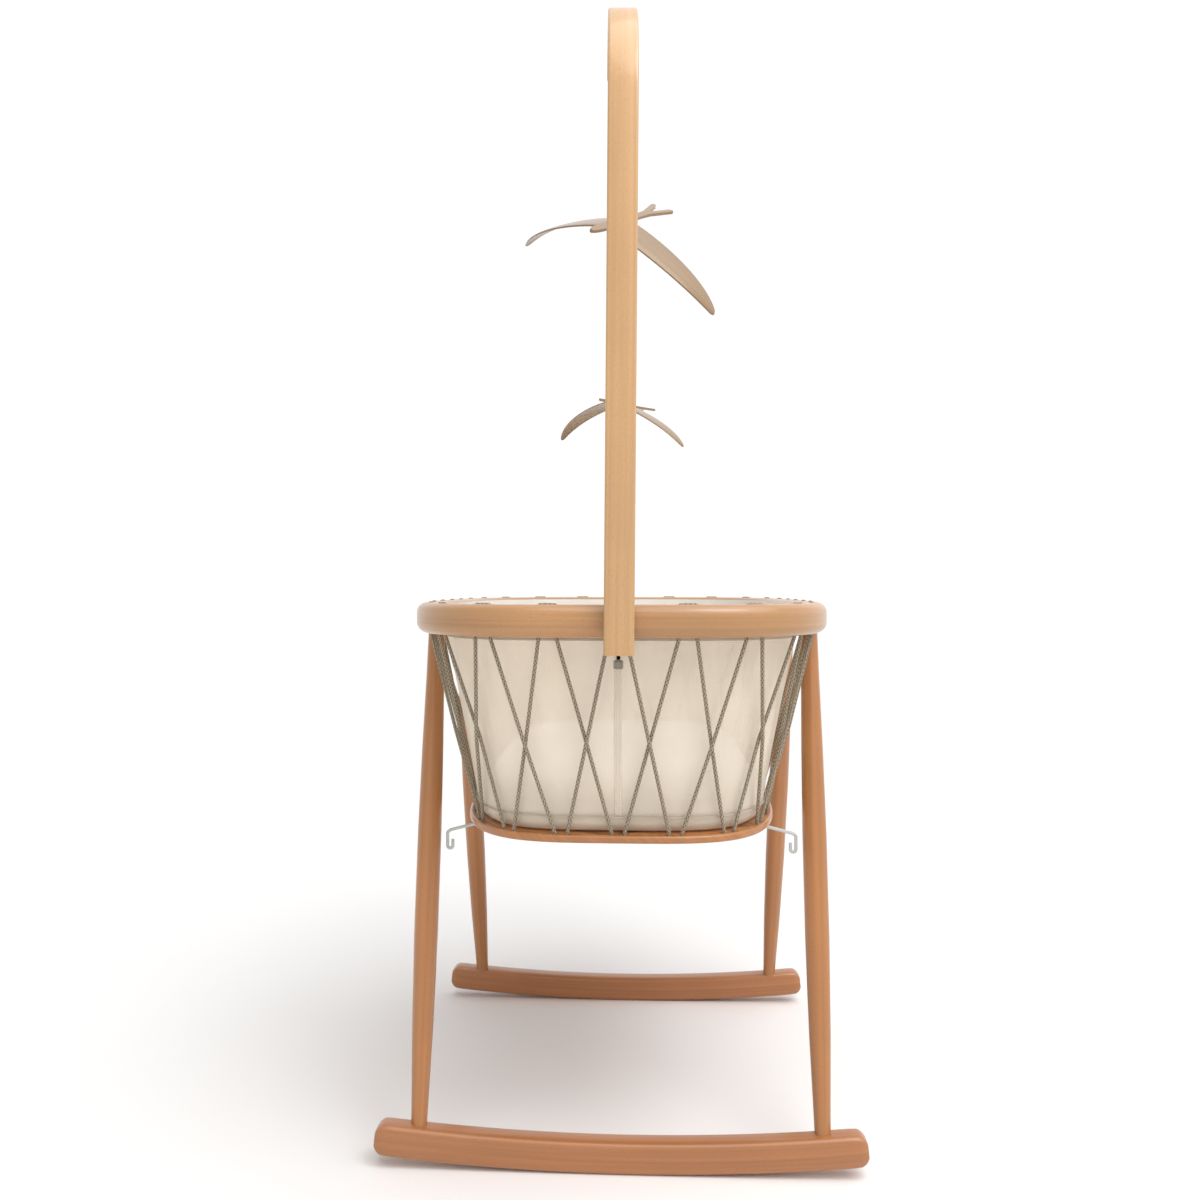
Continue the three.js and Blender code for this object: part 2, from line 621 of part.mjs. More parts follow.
function eyeSocket() {
  const eye = eyePoint();
  return bar(v(0, eye.y, eye.z - 4), v(0, eye.y, eye.z + EYE.shank + GAP), EYE.wire + GAP, 8);
}

function eyeGeometry(eye) {
  const ring = new THREE.TorusGeometry(EYE.ring, EYE.wire, 5, 10);
  ring.rotateX(Math.PI / 2).translate(0, eye.y, eye.z - EYE.drop);
  const ringTop = eye.z - EYE.drop + EYE.ring;
  return join([ring, bar(v(0, eye.y, ringTop), v(0, eye.y, eye.z + EYE.shank), EYE.wire, 8)]);
}

// ---------- mobile ----------
// Bird frame: +X forward, +Y to its left, +Z up, origin at the thread's hole.
function wingGeometry(side, scale) {
  const steps = 8;
  const root = (BIRD.bodyWidth / 2 + GAP * 1.5) / BIRD.span;
  const rings = range(steps + 1).map((i) => {
    const share = root + (1 - root) * (i / steps);
    const chord = BIRD.chord * (1 - share ** 2.2) ** 0.8 + BIRD.tipChord;
    const x = 8 - BIRD.sweep * share ** 1.6;
    const y = (side * BIRD.span * Math.sin(share * 1.15)) / Math.sin(1.15);
    const z = -BIRD.droop * share ** 1.3;
    const front = x + chord / 2;
    const back = x - chord / 2;
    const half = BIRD.blade / 2;
    const section = [
      [front, z - half], [front, z + half], [x, z + half + 1],
      [back, z + half], [back, z - half], [x, z - half + 1],
    ];
    const ring = section.map(([a, b]) => v(a, y, b).multiplyScalar(scale));
    return side > 0 ? ring.toReversed() : ring;
  });
  return loft(rings);
}

// Flat body with a blunt nose and a forked tail of two prongs.
function bodyGeometry(scale) {
  const { nose, noseHalf, tailRoot, prong } = BIRD;
  const half = BIRD.bodyWidth / 2;
  const shape = new THREE.Shape();
  shape.moveTo(nose, -noseHalf);
  shape.lineTo(nose, noseHalf);
  shape.quadraticCurveTo(nose - 12, half, nose - 40, half);
  shape.quadraticCurveTo(22 - tailRoot, half, -tailRoot, 6);
  prong.forEach(([x, y]) => shape.lineTo(x, y));
  prong.slice(0, -1).toReversed().forEach(([x, y]) => shape.lineTo(x, -y));
  shape.lineTo(-tailRoot, -6);
  shape.quadraticCurveTo(22 - tailRoot, -half, nose - 40, -half);
  shape.quadraticCurveTo(nose - 12, -half, nose, -noseHalf);
  const depth = BIRD.blade * 2;
  const geometry = new THREE.ExtrudeGeometry(shape, { depth, bevelEnabled: false, curveSegments: 4 });
  geometry.translate(0, 0, -depth / 2);
  return geometry.scale(scale, scale, scale);
}

function addMobile(parent, hangPoint) {
  let from = hangPoint.z;
  BIRDS.forEach(({ name, scale, z, heading, pitch, roll, balance }) => {
    const at = v(hangPoint.x, hangPoint.y, z);
    const clear = 8 * scale;
    const thread = bar(at.clone().setZ(z + clear), at.clone().setZ(from), THREAD_RADIUS, 8);
    addMesh(parent, `thread_${name}`, thread, COLOURS.thread);
    const bird = new THREE.Group();
    bird.position.set(at.x + balance[0], at.y + balance[1], z);
    bird.rotation.set(degrees(roll), degrees(-pitch), degrees(heading), 'ZYX');
    parent.add(bird);
    addMesh(bird, `bird_${name}_body`, bodyGeometry(scale), COLOURS.beech);
    addMesh(bird, `bird_${name}_left_wing`, wingGeometry(1, scale), COLOURS.beech);
    addMesh(bird, `bird_${name}_right_wing`, wingGeometry(-1, scale), COLOURS.beech);
    from = z - clear;
  });
}

// ---------- side rods under the board ----------
function rodPath(sy) {
  const y = sy * ROD.y;
  const round = ROD.hook / 2;
  const low = ROD.endZ - ROD.drop + round;
  const hook = range(5).map((i) => {
    const turn = (Math.PI * i) / 4;
    return v(ROD.endX - round + round * Math.cos(turn), y, low - round * Math.sin(turn));
  });
  const half = [
    v(ROD.bendX, y, ROD.z), v(ROD.endX - 5, y, ROD.endZ), v(ROD.endX, y, ROD.endZ - 3),
    ...hook, v(ROD.endX - ROD.hook, y, low + ROD.hookRise),
  ];
  const mirrored = half.toReversed().map((point) => v(-point.x, point.y, point.z));
  return [...mirrored, ...half];
}

function addRod(parent, name, sy) {
  addMesh(parent, `side_rod_${name}`, tube(rodPath(sy), ROD.radius, 10), COLOURS.steel);
  [['left', -1], ['right', 1]].forEach(([side, sx]) => {
    const x = sx * SADDLE.x;
    const y = sy * ROD.y;
    const block = new THREE.BoxGeometry(SADDLE.width, SADDLE.length, SADDLE.height);
    block.translate(x, y, SADDLE_TOP - SADDLE.height / 2);
    const bore = bar(v(x - SADDLE.width, y, ROD.z), v(x + SADDLE.width, y, ROD.z), ROD.radius + GAP, 10);
    const screws = saddleScrews(sx, sy, GAP);
    addMesh(parent, `rod_saddle_${name}_${side}`, cut(block, [bore, ...screws]), COLOURS.beech);
    saddleScrews(sx, sy, 0).forEach((screw, i) => {
      addMesh(parent, `saddle_screw_${name}_${side}_${i + 1}`, screw, COLOURS.zinc);
    });
  });
}

// ---------- assembly ----------
const model = new THREE.Group();

addMesh(model, 'rim', rimGeometry(), COLOURS.beech);
addMesh(model, 'base_board', boardGeometry(), COLOURS.beech);
LEG_PLACES.forEach(([name, sx, sy]) => {
  addMesh(model, `leg_${name}`, legGeometry(sx, sy), COLOURS.beech);
  addLegHardware(model, name, sx, sy);
});
addMesh(model, 'rocker_near', rockerGeometry(-1), COLOURS.darkBeech);
addMesh(model, 'rocker_far', rockerGeometry(1), COLOURS.darkBeech);
[['outer', 0, 1], ['inner', 1, -1]].forEach(([name, offset, outward]) => {
  const path = lacingPath(HOLE_PAIRS / 2 + offset, outward); // both cords end at the far end
  addMesh(model, `lacing_${name}`, tube(path, CORD.radius, CORD.sides), COLOURS.cord);
});
addMesh(model, 'liner', linerGeometry(), COLOURS.fabric);
addMesh(model, 'liner_hem', hemGeometry(), COLOURS.fabric);
addMesh(model, 'mattress', mattressGeometry(), COLOURS.padding);
addRod(model, 'near', -1);
addRod(model, 'far', 1);
addCrook(model);

// The origin is the middle of the whole footprint, on the floor.
const box = new THREE.Box3().setFromObject(model);
model.position.set(-(box.min.x + box.max.x) / 2, -(box.min.y + box.max.y) / 2, -box.min.z);
const bassinet = new THREE.Group();
bassinet.add(model);

export default bassinet;
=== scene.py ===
"""Rocking bassinet: a laced basket under a bent beech rim, on turned legs and curved rockers,
with a clamped crook that carries two wooden birds. Metres, +Z up, floor at z = 0."""

import math

import bmesh
import bpy
from mathutils import Euler, Matrix, Vector, noise


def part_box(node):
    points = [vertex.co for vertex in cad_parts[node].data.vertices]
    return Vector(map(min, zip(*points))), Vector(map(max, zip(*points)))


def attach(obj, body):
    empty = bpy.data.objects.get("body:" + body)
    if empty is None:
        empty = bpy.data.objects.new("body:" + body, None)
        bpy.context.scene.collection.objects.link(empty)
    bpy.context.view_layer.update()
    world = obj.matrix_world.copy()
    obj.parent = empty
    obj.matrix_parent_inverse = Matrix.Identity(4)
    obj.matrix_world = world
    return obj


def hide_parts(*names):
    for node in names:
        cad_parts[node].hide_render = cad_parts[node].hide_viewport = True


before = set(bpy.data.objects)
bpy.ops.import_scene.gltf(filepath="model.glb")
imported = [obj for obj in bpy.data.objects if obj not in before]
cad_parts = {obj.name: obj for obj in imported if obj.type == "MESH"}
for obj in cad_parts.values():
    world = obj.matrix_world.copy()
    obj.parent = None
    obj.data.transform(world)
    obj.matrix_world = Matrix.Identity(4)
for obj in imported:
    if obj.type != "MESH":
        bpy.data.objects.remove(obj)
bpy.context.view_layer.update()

bl_info = {
    "name": "Rocking bassinet",
    "version": (1, 0, 0),
    "blender": (4, 5, 0),
    "location": "3D View > Sidebar > Bassinet",
    "description": "Makes a laced rocking bassinet with its crook and bird mobile",
    "category": "Add Mesh",
}

MM = 0.001
RIM_LOW, RIM_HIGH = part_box("rim")
BOARD_LOW, BOARD_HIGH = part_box("base_board")
MIDDLE_Y = (RIM_LOW[1] + RIM_HIGH[1]) / 2
STAND = "stand"

# Fixed details, in metres unless they say otherwise.
RIM_SQUARENESS, BOARD_SQUARENESS = 3.5, 3.8  # exponents of the two superellipse outlines
CAMERA_PLACE = (0.0255, MIDDLE_Y - 1.7017, 0.7648)
CAMERA_YAW, CAMERA_PITCH = 0.048, 0.0135  # radians to the left and down
CAMERA_LENS_MM, CAMERA_SENSOR_MM, CAMERA_SHIFT = 32.45, 36, 0.0109
FLOOR_HALF = 12.0
STITCH_SPACING, STITCH_THREAD, STITCH_LENGTH = 0.0042, 0.0006, 0.0032
CROSSING_OFFSET = 0.0029  # from the middle of a crossing to each cord's centre line
STITCH_SUNK = 0.0014  # how deep a cord's centre line lies in the board's groove
CORD_END_DROP = 0.004
HOLE_CLEAR = 0.0015  # where a cord's run meets the hole, off the wood's face
HOLE_CHAMFER = 0.0012
GROOVE_SINK = 0.0008
LEG_FOOT, LEG_TOP = (0.2645, 0.296), (0.272, 0.118)  # across and along from the basket's middle
LEG_FOOT_HEIGHT = 0.032
ROCKER_RADIUS, ROCKER_HEIGHT, ROCKER_EDGE = 3.054, 0.0416, 0.0075
ROCKER_ROUND_END = 0.014
LINER_FLOOR_EDGE = 0.014
LINER_BAND = 0.016
PAD_INSET, PAD_EDGE, PAD_CROWN = 0.019, 0.016, 0.004
CROOK_HALF_WIDTH, CROOK_HALF_THICKNESS, CROOK_EDGE = 0.018, 0.007, 0.003
CROOK_STRAIGHT_TO, CROOK_BEND_RADIUS, CROOK_BEND_DEGREES, CROOK_TIP = 1.34, 0.143, 124, 0.017
THREAD_PITCH = 0.001
ROD_HEIGHT, ROD_END_HEIGHT, ROD_BEND_X, ROD_HOOK, ROD_HOOK_RISE = 0.43, 0.4215, 0.205, 0.0074, 0.009
ROD_BORE_RADIUS = 0.0032


# ---------- sizes and colours a user would change ----------
def linear(hex_colour):
    """An sRGB hex colour as linear RGBA."""
    parts = [int(hex_colour[i:i + 2], 16) / 255 for i in (1, 3, 5)]
    return [p / 12.92 if p <= 0.04045 else ((p + 0.055) / 1.055) ** 2.4 for p in parts] + [1.0]


def length(name, description, default):
    return bpy.props.FloatProperty(
        name=name, description=description, default=default, unit="LENGTH", precision=4)


def colour(name, description, default):
    return bpy.props.FloatVectorProperty(
        name=name, description=description, default=linear(default), size=4, subtype="COLOR", min=0, max=1)


class BassinetSizes(bpy.types.PropertyGroup):
    """Driving sizes of the basket's wood, cord and cloth."""
    hole_pairs: bpy.props.IntProperty(
        name="Hole pairs", description="Lacing hole pairs round the rim", default=28)
    rim_width: length("Rim width", "Width of the rim's section", 0.038)
    rim_edge: length("Rim edge radius", "Rounding of the rim's edges", 0.0135)
    rim_pair: length("Rim hole spacing", "Between the two holes of a pair in the rim", 0.022)
    board_margin: length("Board margin", "From the board's holes to its edge", 0.008)
    board_pair: length("Board hole spacing", "Between the two holes of a pair in the board", 0.016)
    cord: length("Cord diameter", "Diameter of the braided lacing cord", 0.0048)
    hole: length("Hole diameter", "Diameter of the lacing holes", 0.0064)
    liner_cloth: length("Liner cloth", "Thickness of the liner's mesh cloth", 0.0008)
    wire: length("Rod wire", "Diameter of the side rods' wire", 0.0046)
    thread: length("Thread diameter", "Diameter of the mobile's threads", 0.0008)


class BassinetColours(bpy.types.PropertyGroup):
    """Colours of the basket's materials."""
    beech: colour("Rim beech", "Steam-bent beech of the rim", "#b78757")
    leg_beech: colour("Leg beech", "Turned beech of the legs and the board", "#b27642")
    pale_beech: colour("Pale beech", "Laminated beech of the crook", "#cb9f6e")
    rocker_beech: colour("Rocker beech", "Warmer beech of the rockers", "#af7243")
    bird_beech: colour("Bird beech", "Thin bent beech of the birds", "#8f7250")
    cord_light: colour("Cord, light yarn", "Lighter yarn of the lacing cord", "#b5a78f")
    cord_dark: colour("Cord, dark yarn", "Darker yarn of the lacing cord", "#574a3c")
    mesh_cloth: colour("Mesh cloth", "Polyester mesh of the liner", "#f8ecda")
    binding: colour("Binding", "Woven tape at the liner's top", "#f3f1ed")
    # this taupe also colours the tape under the rim, where it paints the shade line below the rim
    seam: colour("Seam tape", "Taupe tape of the liner's hem and seams", "#c4b6a3")
    cover: colour("Mattress cover", "Knitted cotton of the mattress", "#f6f1ea")
    rod: colour("Rod paint", "Powder coat of the side rods", "#c9ccca")
    zinc: colour("Zinc", "Zinc-plated clamp parts and screws", "#8f877c")


def sizes():
    return bpy.context.scene.bassinet_sizes


def colours():
    return bpy.context.scene.bassinet_colours


# ---------- meshes ----------
def outline(half_width, half_length, exponent, count):
    """Points and outward normals at equal steps of arc round a superellipse, anticlockwise from the crook's
    end."""
    samples = 2880
    raw = []
    for i in range(samples + 1):
        angle = 2 * math.pi * i / samples
        across = abs(math.sin(angle) / half_width) ** exponent
        along = abs(math.cos(angle) / half_length) ** exponent
        reach = (across + along) ** (-1 / exponent)
        raw.append(Vector((reach * math.sin(angle), -reach * math.cos(angle), 0)))
    arc = [0.0]
    for a, b in zip(raw, raw[1:]):
        arc.append(arc[-1] + (b - a).length)
    stations, k = [], 1
    for i in range(count):
        target = arc[-1] * i / count
        while arc[k] < target:
            k += 1
        point = raw[k - 1].lerp(raw[k], (target - arc[k - 1]) / (arc[k] - arc[k - 1]))
        normal = Vector((slope(point.x, half_width, exponent), slope(point.y, half_length, exponent), 0))
        stations.append((point + Vector((0, MIDDLE_Y, 0)), normal.normalized()))
    return stations


def slope(value, half, exponent):
    return math.copysign(abs(value / half) ** (exponent - 1), value) / half


def rim_line(steps):
    """The rim's line of holes, with `steps` stations for each hole pair."""
    inset = sizes().rim_width / 2
    half_width = (RIM_HIGH[0] - RIM_LOW[0]) / 2 - inset
    half_length = (RIM_HIGH[1] - RIM_LOW[1]) / 2 - inset
    return outline(half_width, half_length, RIM_SQUARENESS, sizes().hole_pairs * steps)


def board_line(steps):
    inset = sizes().board_margin
    half_width = (BOARD_HIGH[0] - BOARD_LOW[0]) / 2 - inset
    half_length = (BOARD_HIGH[1] - BOARD_LOW[1]) / 2 - inset
    return outline(half_width, half_length, BOARD_SQUARENESS, sizes().hole_pairs * steps)


def ring_at(line, offset, z):
    return [Vector((p.x + n.x * offset, p.y + n.y * offset, z)) for p, n in line]


def new_piece(name, vertices, faces, uvs=None, smooth=40):
    """A mesh object; uvs holds one list of corner coordinates for each face."""
    mesh = bpy.data.meshes.new(name)
    mesh.from_pydata([tuple(p) for p in vertices], [], faces)
    if uvs:
        layer = mesh.uv_layers.new(name="grain")
        flat = [value for face in uvs for corner in face for value in corner]
        layer.data.foreach_set("uv", flat)
    mesh.validate()
    piece = bpy.data.objects.new(name, mesh)
    bpy.context.collection.objects.link(piece)
    mesh.shade_smooth()
    mesh.set_sharp_from_angle(angle=math.radians(smooth))
    return piece


def sweep(name, sections, closed=False, smooth=40):
    """A solid through closed sections, with its faces outward; the UV map runs along the sections' path and
    round the section, in metres."""
    count = len(sections[0])
    vertices = [p for section in sections for p in section]
    rows = len(sections) if closed else len(sections) - 1
    along = [0.0]
    for a, b in zip(sections, sections[1:] + sections[:1]):
        along.append(along[-1] + (centre(b) - centre(a)).length)
    around = [0.0]
    first = sections[len(sections) // 2]
    for a, b in zip(first, first[1:] + first[:1]):
        around.append(around[-1] + (b - a).length)
    faces, uvs = [], []
    for i in range(rows):
        low, high = i * count, ((i + 1) % len(sections)) * count
        for j in range(count):
            k = (j + 1) % count
            faces.append((low + j, low + k, high + k, high + j))
            uvs.append([(along[i], around[j]), (along[i], around[j + 1]),
                        (along[i + 1], around[j + 1]), (along[i + 1], around[j])])
    if not closed:
        for start, order in ((0, -1), ((len(sections) - 1) * count, 1)):
            face = tuple(range(start, start + count))[::order]
            faces.append(face)
            middle = centre(vertices[start:start + count])
            uvs.append([((vertices[v] - middle).y, (vertices[v] - middle).x) for v in face])
    piece = new_piece(name, vertices, faces, uvs, smooth)
    mesh = bmesh.new()
    mesh.from_mesh(piece.data)
    if mesh.calc_volume(signed=True) < 0:
        piece.data.flip_normals()
    mesh.free()
    return piece


def centre(points):
    return sum(points, Vector()) / len(points)


def rounded_section(half_a, half_b, edge, steps=4):
    """Corner points (a, b) of a rectangle with round edges, anticlockwise."""
    points = []
    for sa, sb, start in ((1, -1, -90), (1, 1, 0), (-1, 1, 90), (-1, -1, 180)):
        for i in range(steps + 1):
            angle = math.radians(start + 90 * i / steps)
            points.append((sa * (half_a - edge) + edge * math.cos(angle),
                           sb * (half_b - edge) + edge * math.sin(angle)))
    return points


def new_tree(name, inputs):
    """A geometry node tree with named inputs; gives the tree and its input sockets."""
    tree = bpy.data.node_groups.new(name, "GeometryNodeTree")
    tree.interface.new_socket("Geometry", in_out="INPUT", socket_type="NodeSocketGeometry")
    for label, kind in inputs:
        tree.interface.new_socket(label, in_out="INPUT", socket_type=f"NodeSocket{kind}")
    tree.interface.new_socket("Geometry", in_out="OUTPUT", socket_type="NodeSocketGeometry")
    return tree, add_node(tree, "NodeGroupInput").outputs


def end_tree(tree, geometry, material):
    """Ends a tree in real geometry with its material."""
    real = add_node(tree, "GeometryNodeRealizeInstances", {"Geometry": geometry})
    dressed = add_node(tree, "GeometryNodeSetMaterial", {"Geometry": real.outputs[0], "Material": material})
    add_node(tree, "NodeGroupOutput", {"Geometry": dressed.outputs[0]})


def run_tree(piece, tree, values):
    """Runs a tree on a piece with the given inputs and keeps the resulting plain mesh."""
    modifier = piece.modifiers.new(tree.name, "NODES")
    modifier.node_group = tree
    for item in tree.interface.items_tree:
        if item.in_out == "INPUT" and item.name in values:
            modifier[item.identifier] = values[item.name]
    settle(piece)
    piece.data.shade_smooth()
    piece.data.set_sharp_from_angle(angle=math.radians(60))


def cord_tree():
    """Sweeps a round section along a path with eased corners; the UV map runs along and round it in metres.
    The path's length is stored as "along" and the share of a turn round the section as "turn"."""
    tree, given = new_tree("round_cord", (("Radius", "Float"), ("Bend", "Float"), ("Sides", "Int"),
                                          ("Material", "Material")))
    curve = add_node(tree, "GeometryNodeMeshToCurve", {"Mesh": given["Geometry"]})
    eased = add_node(tree, "GeometryNodeFilletCurve", {"Curve": curve.outputs[0], "Radius": given["Bend"],
                                                       "Count": 5, "Limit Radius": True}, mode="POLY")
    run = add_node(tree, "GeometryNodeSplineParameter")
    along = add_node(tree, "GeometryNodeStoreNamedAttribute", {
        "Geometry": eased.outputs[0], "Name": "along", "Value": run.outputs["Length"]}, data_type="FLOAT")
    circle = add_node(tree, "GeometryNodeCurvePrimitiveCircle", {"Resolution": given["Sides"],
                                                                 "Radius": given["Radius"]})
    turn = add_node(tree, "GeometryNodeStoreNamedAttribute", {
        "Geometry": circle.outputs[0], "Name": "turn", "Value": run.outputs["Factor"]}, data_type="FLOAT")
    swept = add_node(tree, "GeometryNodeCurveToMesh", {
        "Curve": along.outputs[0], "Profile Curve": turn.outputs[0], "Fill Caps": True})
    share = add_node(tree, "GeometryNodeInputNamedAttribute", {"Name": "turn"}, data_type="FLOAT").outputs[0]
    # the last strip round the section ends at a whole turn, not back at zero
    middle = add_node(tree, "GeometryNodeFieldOnDomain", {"Value": share}, domain="FACE")
    wraps = add_node(tree, "ShaderNodeMath", {0: middle.outputs[0], 1: 0.25}, operation="GREATER_THAN")
    starts = add_node(tree, "ShaderNodeMath", {0: share, 1: 0.001}, operation="LESS_THAN")
    whole = add_node(tree, "ShaderNodeMath", {0: wraps.outputs[0], 1: starts.outputs[0], 2: share},
                     operation="MULTIPLY_ADD")
    girth = add_node(tree, "ShaderNodeMath", {0: given["Radius"], 1: 2 * math.pi}, operation="MULTIPLY")
    round_it = add_node(tree, "ShaderNodeMath", {0: whole.outputs[0], 1: girth.outputs[0]},
                        operation="MULTIPLY")
    length_at = add_node(tree, "GeometryNodeInputNamedAttribute", {"Name": "along"}, data_type="FLOAT")
    uv = add_node(tree, "ShaderNodeCombineXYZ", {"X": length_at.outputs[0], "Y": round_it.outputs[0]})
    mapped = add_node(tree, "GeometryNodeStoreNamedAttribute", {
        "Geometry": swept.outputs[0], "Name": "grain", "Value": uv.outputs[0]},
        data_type="FLOAT2", domain="CORNER")
    end_tree(tree, mapped.outputs[0], given["Material"])
    return tree


def stitch_tree():
    """Lays stitches end to end along a path: each is a small rounded bar sunk half into the cloth."""
    tree, given = new_tree("stitches", (("Spacing", "Float"), ("Size", "Vector"), ("Material", "Material")))
    curve = add_node(tree, "GeometryNodeMeshToCurve", {"Mesh": given["Geometry"]})
    points = add_node(tree, "GeometryNodeCurveToPoints", {
        "Curve": curve.outputs[0], "Length": given["Spacing"]}, mode="LENGTH")
    bead = add_node(tree, "GeometryNodeMeshUVSphere", {"Segments": 6, "Rings": 4, "Radius": 0.5})
    placed = add_node(tree, "GeometryNodeInstanceOnPoints", {
        "Points": points.outputs["Points"], "Instance": bead.outputs[0],
        "Rotation": points.outputs["Rotation"], "Scale": given["Size"]})
    end_tree(tree, placed.outputs[0], given["Material"])
    return tree


def path_piece(name, path, closed=False):
    """A mesh of one line of edges."""
    edges = [(i, i + 1) for i in range(len(path) - 1)]
    if closed:
        edges.append((len(path) - 1, 0))
    mesh = bpy.data.meshes.new(name)
    mesh.from_pydata([tuple(p) for p in path], edges, [])
    piece = bpy.data.objects.new(name, mesh)
    bpy.context.collection.objects.link(piece)
    return piece


def tube(name, path, diameter, material, bend=0.003, sides=12):
    """A round cord or wire along a path."""
    piece = path_piece(name, path)
    run_tree(piece, TREES["cord"], {
        "Radius": diameter / 2, "Bend": bend, "Sides": sides, "Material": material})
    return piece


def stitches(name, path, material, closed=False):
    """A row of sewn stitches along a path."""
    piece = path_piece(name, path, closed)
    size = (STITCH_THREAD, STITCH_THREAD, STITCH_LENGTH)
    run_tree(piece, TREES["stitch"], {"Spacing": STITCH_SPACING, "Size": size, "Material": material})
    return piece


def circle_at(middle, direction, radius, sides):
    """Points round a circle that faces a direction."""
    side = direction.orthogonal().normalized()
    other = direction.cross(side)
    turns = [2 * math.pi * k / sides for k in range(sides)]
    return [middle + side * math.cos(t) * radius + other * math.sin(t) * radius for t in turns]


def bar(start, end, radius, sides=24):
    """The sections of a straight round bar."""
    direction = (end - start).normalized()
    return [circle_at(point, direction, radius, sides) for point in (start, end)]


def turned(name, base, direction, profile, sides=48, smooth=40):
    """A lathed solid: profile holds (radius, distance) from base along direction."""
    direction = direction.normalized()
    sections = [circle_at(base + direction * distance, direction, radius, sides)
                for radius, distance in profile]
    return sweep(name, sections, smooth=smooth)


def join(name, pieces):
    """One object from several."""
    mesh = bmesh.new()
    for piece in pieces:
        mesh.from_mesh(piece.data)
        bpy.data.objects.remove(piece)
    data = bpy.data.meshes.new(name)
    mesh.to_mesh(data)
    mesh.free()
    joined = bpy.data.objects.new(name, data)
    bpy.context.collection.objects.link(joined)
    return joined


def carve(piece, cutter):
    """Cuts the cutter's solids out of a piece and applies the result."""
    modifier = piece.modifiers.new("holes", "BOOLEAN")
    modifier.operation = "DIFFERENCE"
    modifier.solver = "MANIFOLD"
    modifier.object = cutter
    settle(piece)
    bpy.data.objects.remove(cutter)


def settle(piece):
    """Makes the piece's modifiers part of its mesh."""
    graph = bpy.context.evaluated_depsgraph_get()
    mesh = bpy.data.meshes.new_from_object(piece.evaluated_get(graph))
    piece.modifiers.clear()
    piece.data = mesh


def dress(piece, material, body=STAND, nodes=()):
    """Gives a finished piece its material, its body and the CAD nodes that it stands for."""
    piece.data.materials.clear()
    piece.data.materials.append(material)
    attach(piece, body)
    if nodes:
        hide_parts(*nodes)
    return piece


def paint(node, material):
    """Gives a kept CAD node its material."""
    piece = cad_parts[node]
    piece.data.materials.clear()
    piece.data.materials.append(material)


# ---------- materials ----------
def add_node(tree, kind, inputs=None, **settings):
    """A node with its settings; an input is a value or the socket that feeds it."""
    node = tree.nodes.new(kind)
    for key, value in settings.items():
        setattr(node, key, value)
    for key, value in (inputs or {}).items():
        if isinstance(value, bpy.types.NodeSocket):
            tree.links.new(value, node.inputs[key])
        else:
            node.inputs[key].default_value = value
    return node


def new_material(name, **shader_values):
    """A material and its principled shader, with constant values on the shader's own sockets."""
    material = bpy.data.materials.new(name)
    material.use_nodes = True
    shader = material.node_tree.nodes["Principled BSDF"]
    for key, value in shader_values.items():
        shader.inputs[key.replace("_", " ")].default_value = value
    return material, material.node_tree, shader


def shade(base, factor):
    return [c * factor for c in base[:3]] + [1.0]


def wood(name, base, contrast=0.16, flecks_shown=0.35, relief=0.06):
    """Beech under clear satin lacquer: soft lengthwise bands a few millimetres wide, short darker ray flecks
    and a low even sheen. The UV map runs along the grain in metres; the scales are repeats for each metre."""
    material, tree, shader = new_material(name, Roughness=0.42, Coat_Weight=0.5, Coat_Roughness=0.15)
    grain = add_node(tree, "ShaderNodeUVMap", uv_map="grain").outputs["UV"]
    bands_at = add_node(tree, "ShaderNodeMapping", {"Vector": grain, "Scale": (1.6, 130, 1)})
    bands = add_node(tree, "ShaderNodeTexNoise", {"Vector": bands_at.outputs[0], "Scale": 1.0, "Detail": 4.0,
                                                  "Roughness": 0.6, "Distortion": 0.5})
    tone = add_node(tree, "ShaderNodeTexNoise", {"Vector": grain, "Scale": 5.0, "Detail": 2.0})
    # ray flecks about 5 mm by 0.7 mm, drawn a little coarse so that they show
    flecks_at = add_node(tree, "ShaderNodeMapping", {"Vector": grain, "Scale": (200, 1400, 1)})
    flecks = add_node(tree, "ShaderNodeTexNoise", {"Vector": flecks_at.outputs[0], "Scale": 1.0,
                                                   "Detail": 1.0})
    fleck_mask = add_node(tree, "ShaderNodeMapRange", {"Value": flecks.outputs["Fac"], "From Min": 0.56,
                                                       "From Max": 0.7, "To Max": flecks_shown})
    mixed = add_node(tree, "ShaderNodeMapRange", {"Value": bands.outputs["Fac"], "From Min": 0.3,
                                                  "From Max": 0.7})
    banded = add_node(tree, "ShaderNodeMix", data_type="RGBA")
    set_mix(banded, tree, mixed.outputs[0], shade(base, 1 - contrast), shade(base, 1 + contrast))
    toned = add_node(tree, "ShaderNodeMix", data_type="RGBA", blend_type="MULTIPLY")
    tone_colour = add_node(tree, "ShaderNodeMapRange", {
        "Value": tone.outputs["Fac"], "From Min": 0.3, "From Max": 0.7, "To Min": 0.9, "To Max": 1.06})
    set_mix(toned, tree, 1.0, banded.outputs[2], tone_colour.outputs[0])
    flecked = add_node(tree, "ShaderNodeMix", data_type="RGBA")
    set_mix(flecked, tree, fleck_mask.outputs[0], toned.outputs[2], shade(base, 0.6))
    tree.links.new(flecked.outputs[2], shader.inputs["Base Color"])
    bump = add_node(tree, "ShaderNodeBump", {"Height": bands.outputs["Fac"], "Strength": relief,
                                             "Distance": 0.0006})
    tree.links.new(bump.outputs[0], shader.inputs["Normal"])
    return material


def set_mix(node, tree, factor, a, b):
    """Sets the colour mix's factor and its two colours, by value or by socket."""
    for index, value in ((0, factor), (6, a), (7, b)):
        if isinstance(value, bpy.types.NodeSocket):
            tree.links.new(value, node.inputs[index])
        else:
            node.inputs[index].default_value = value


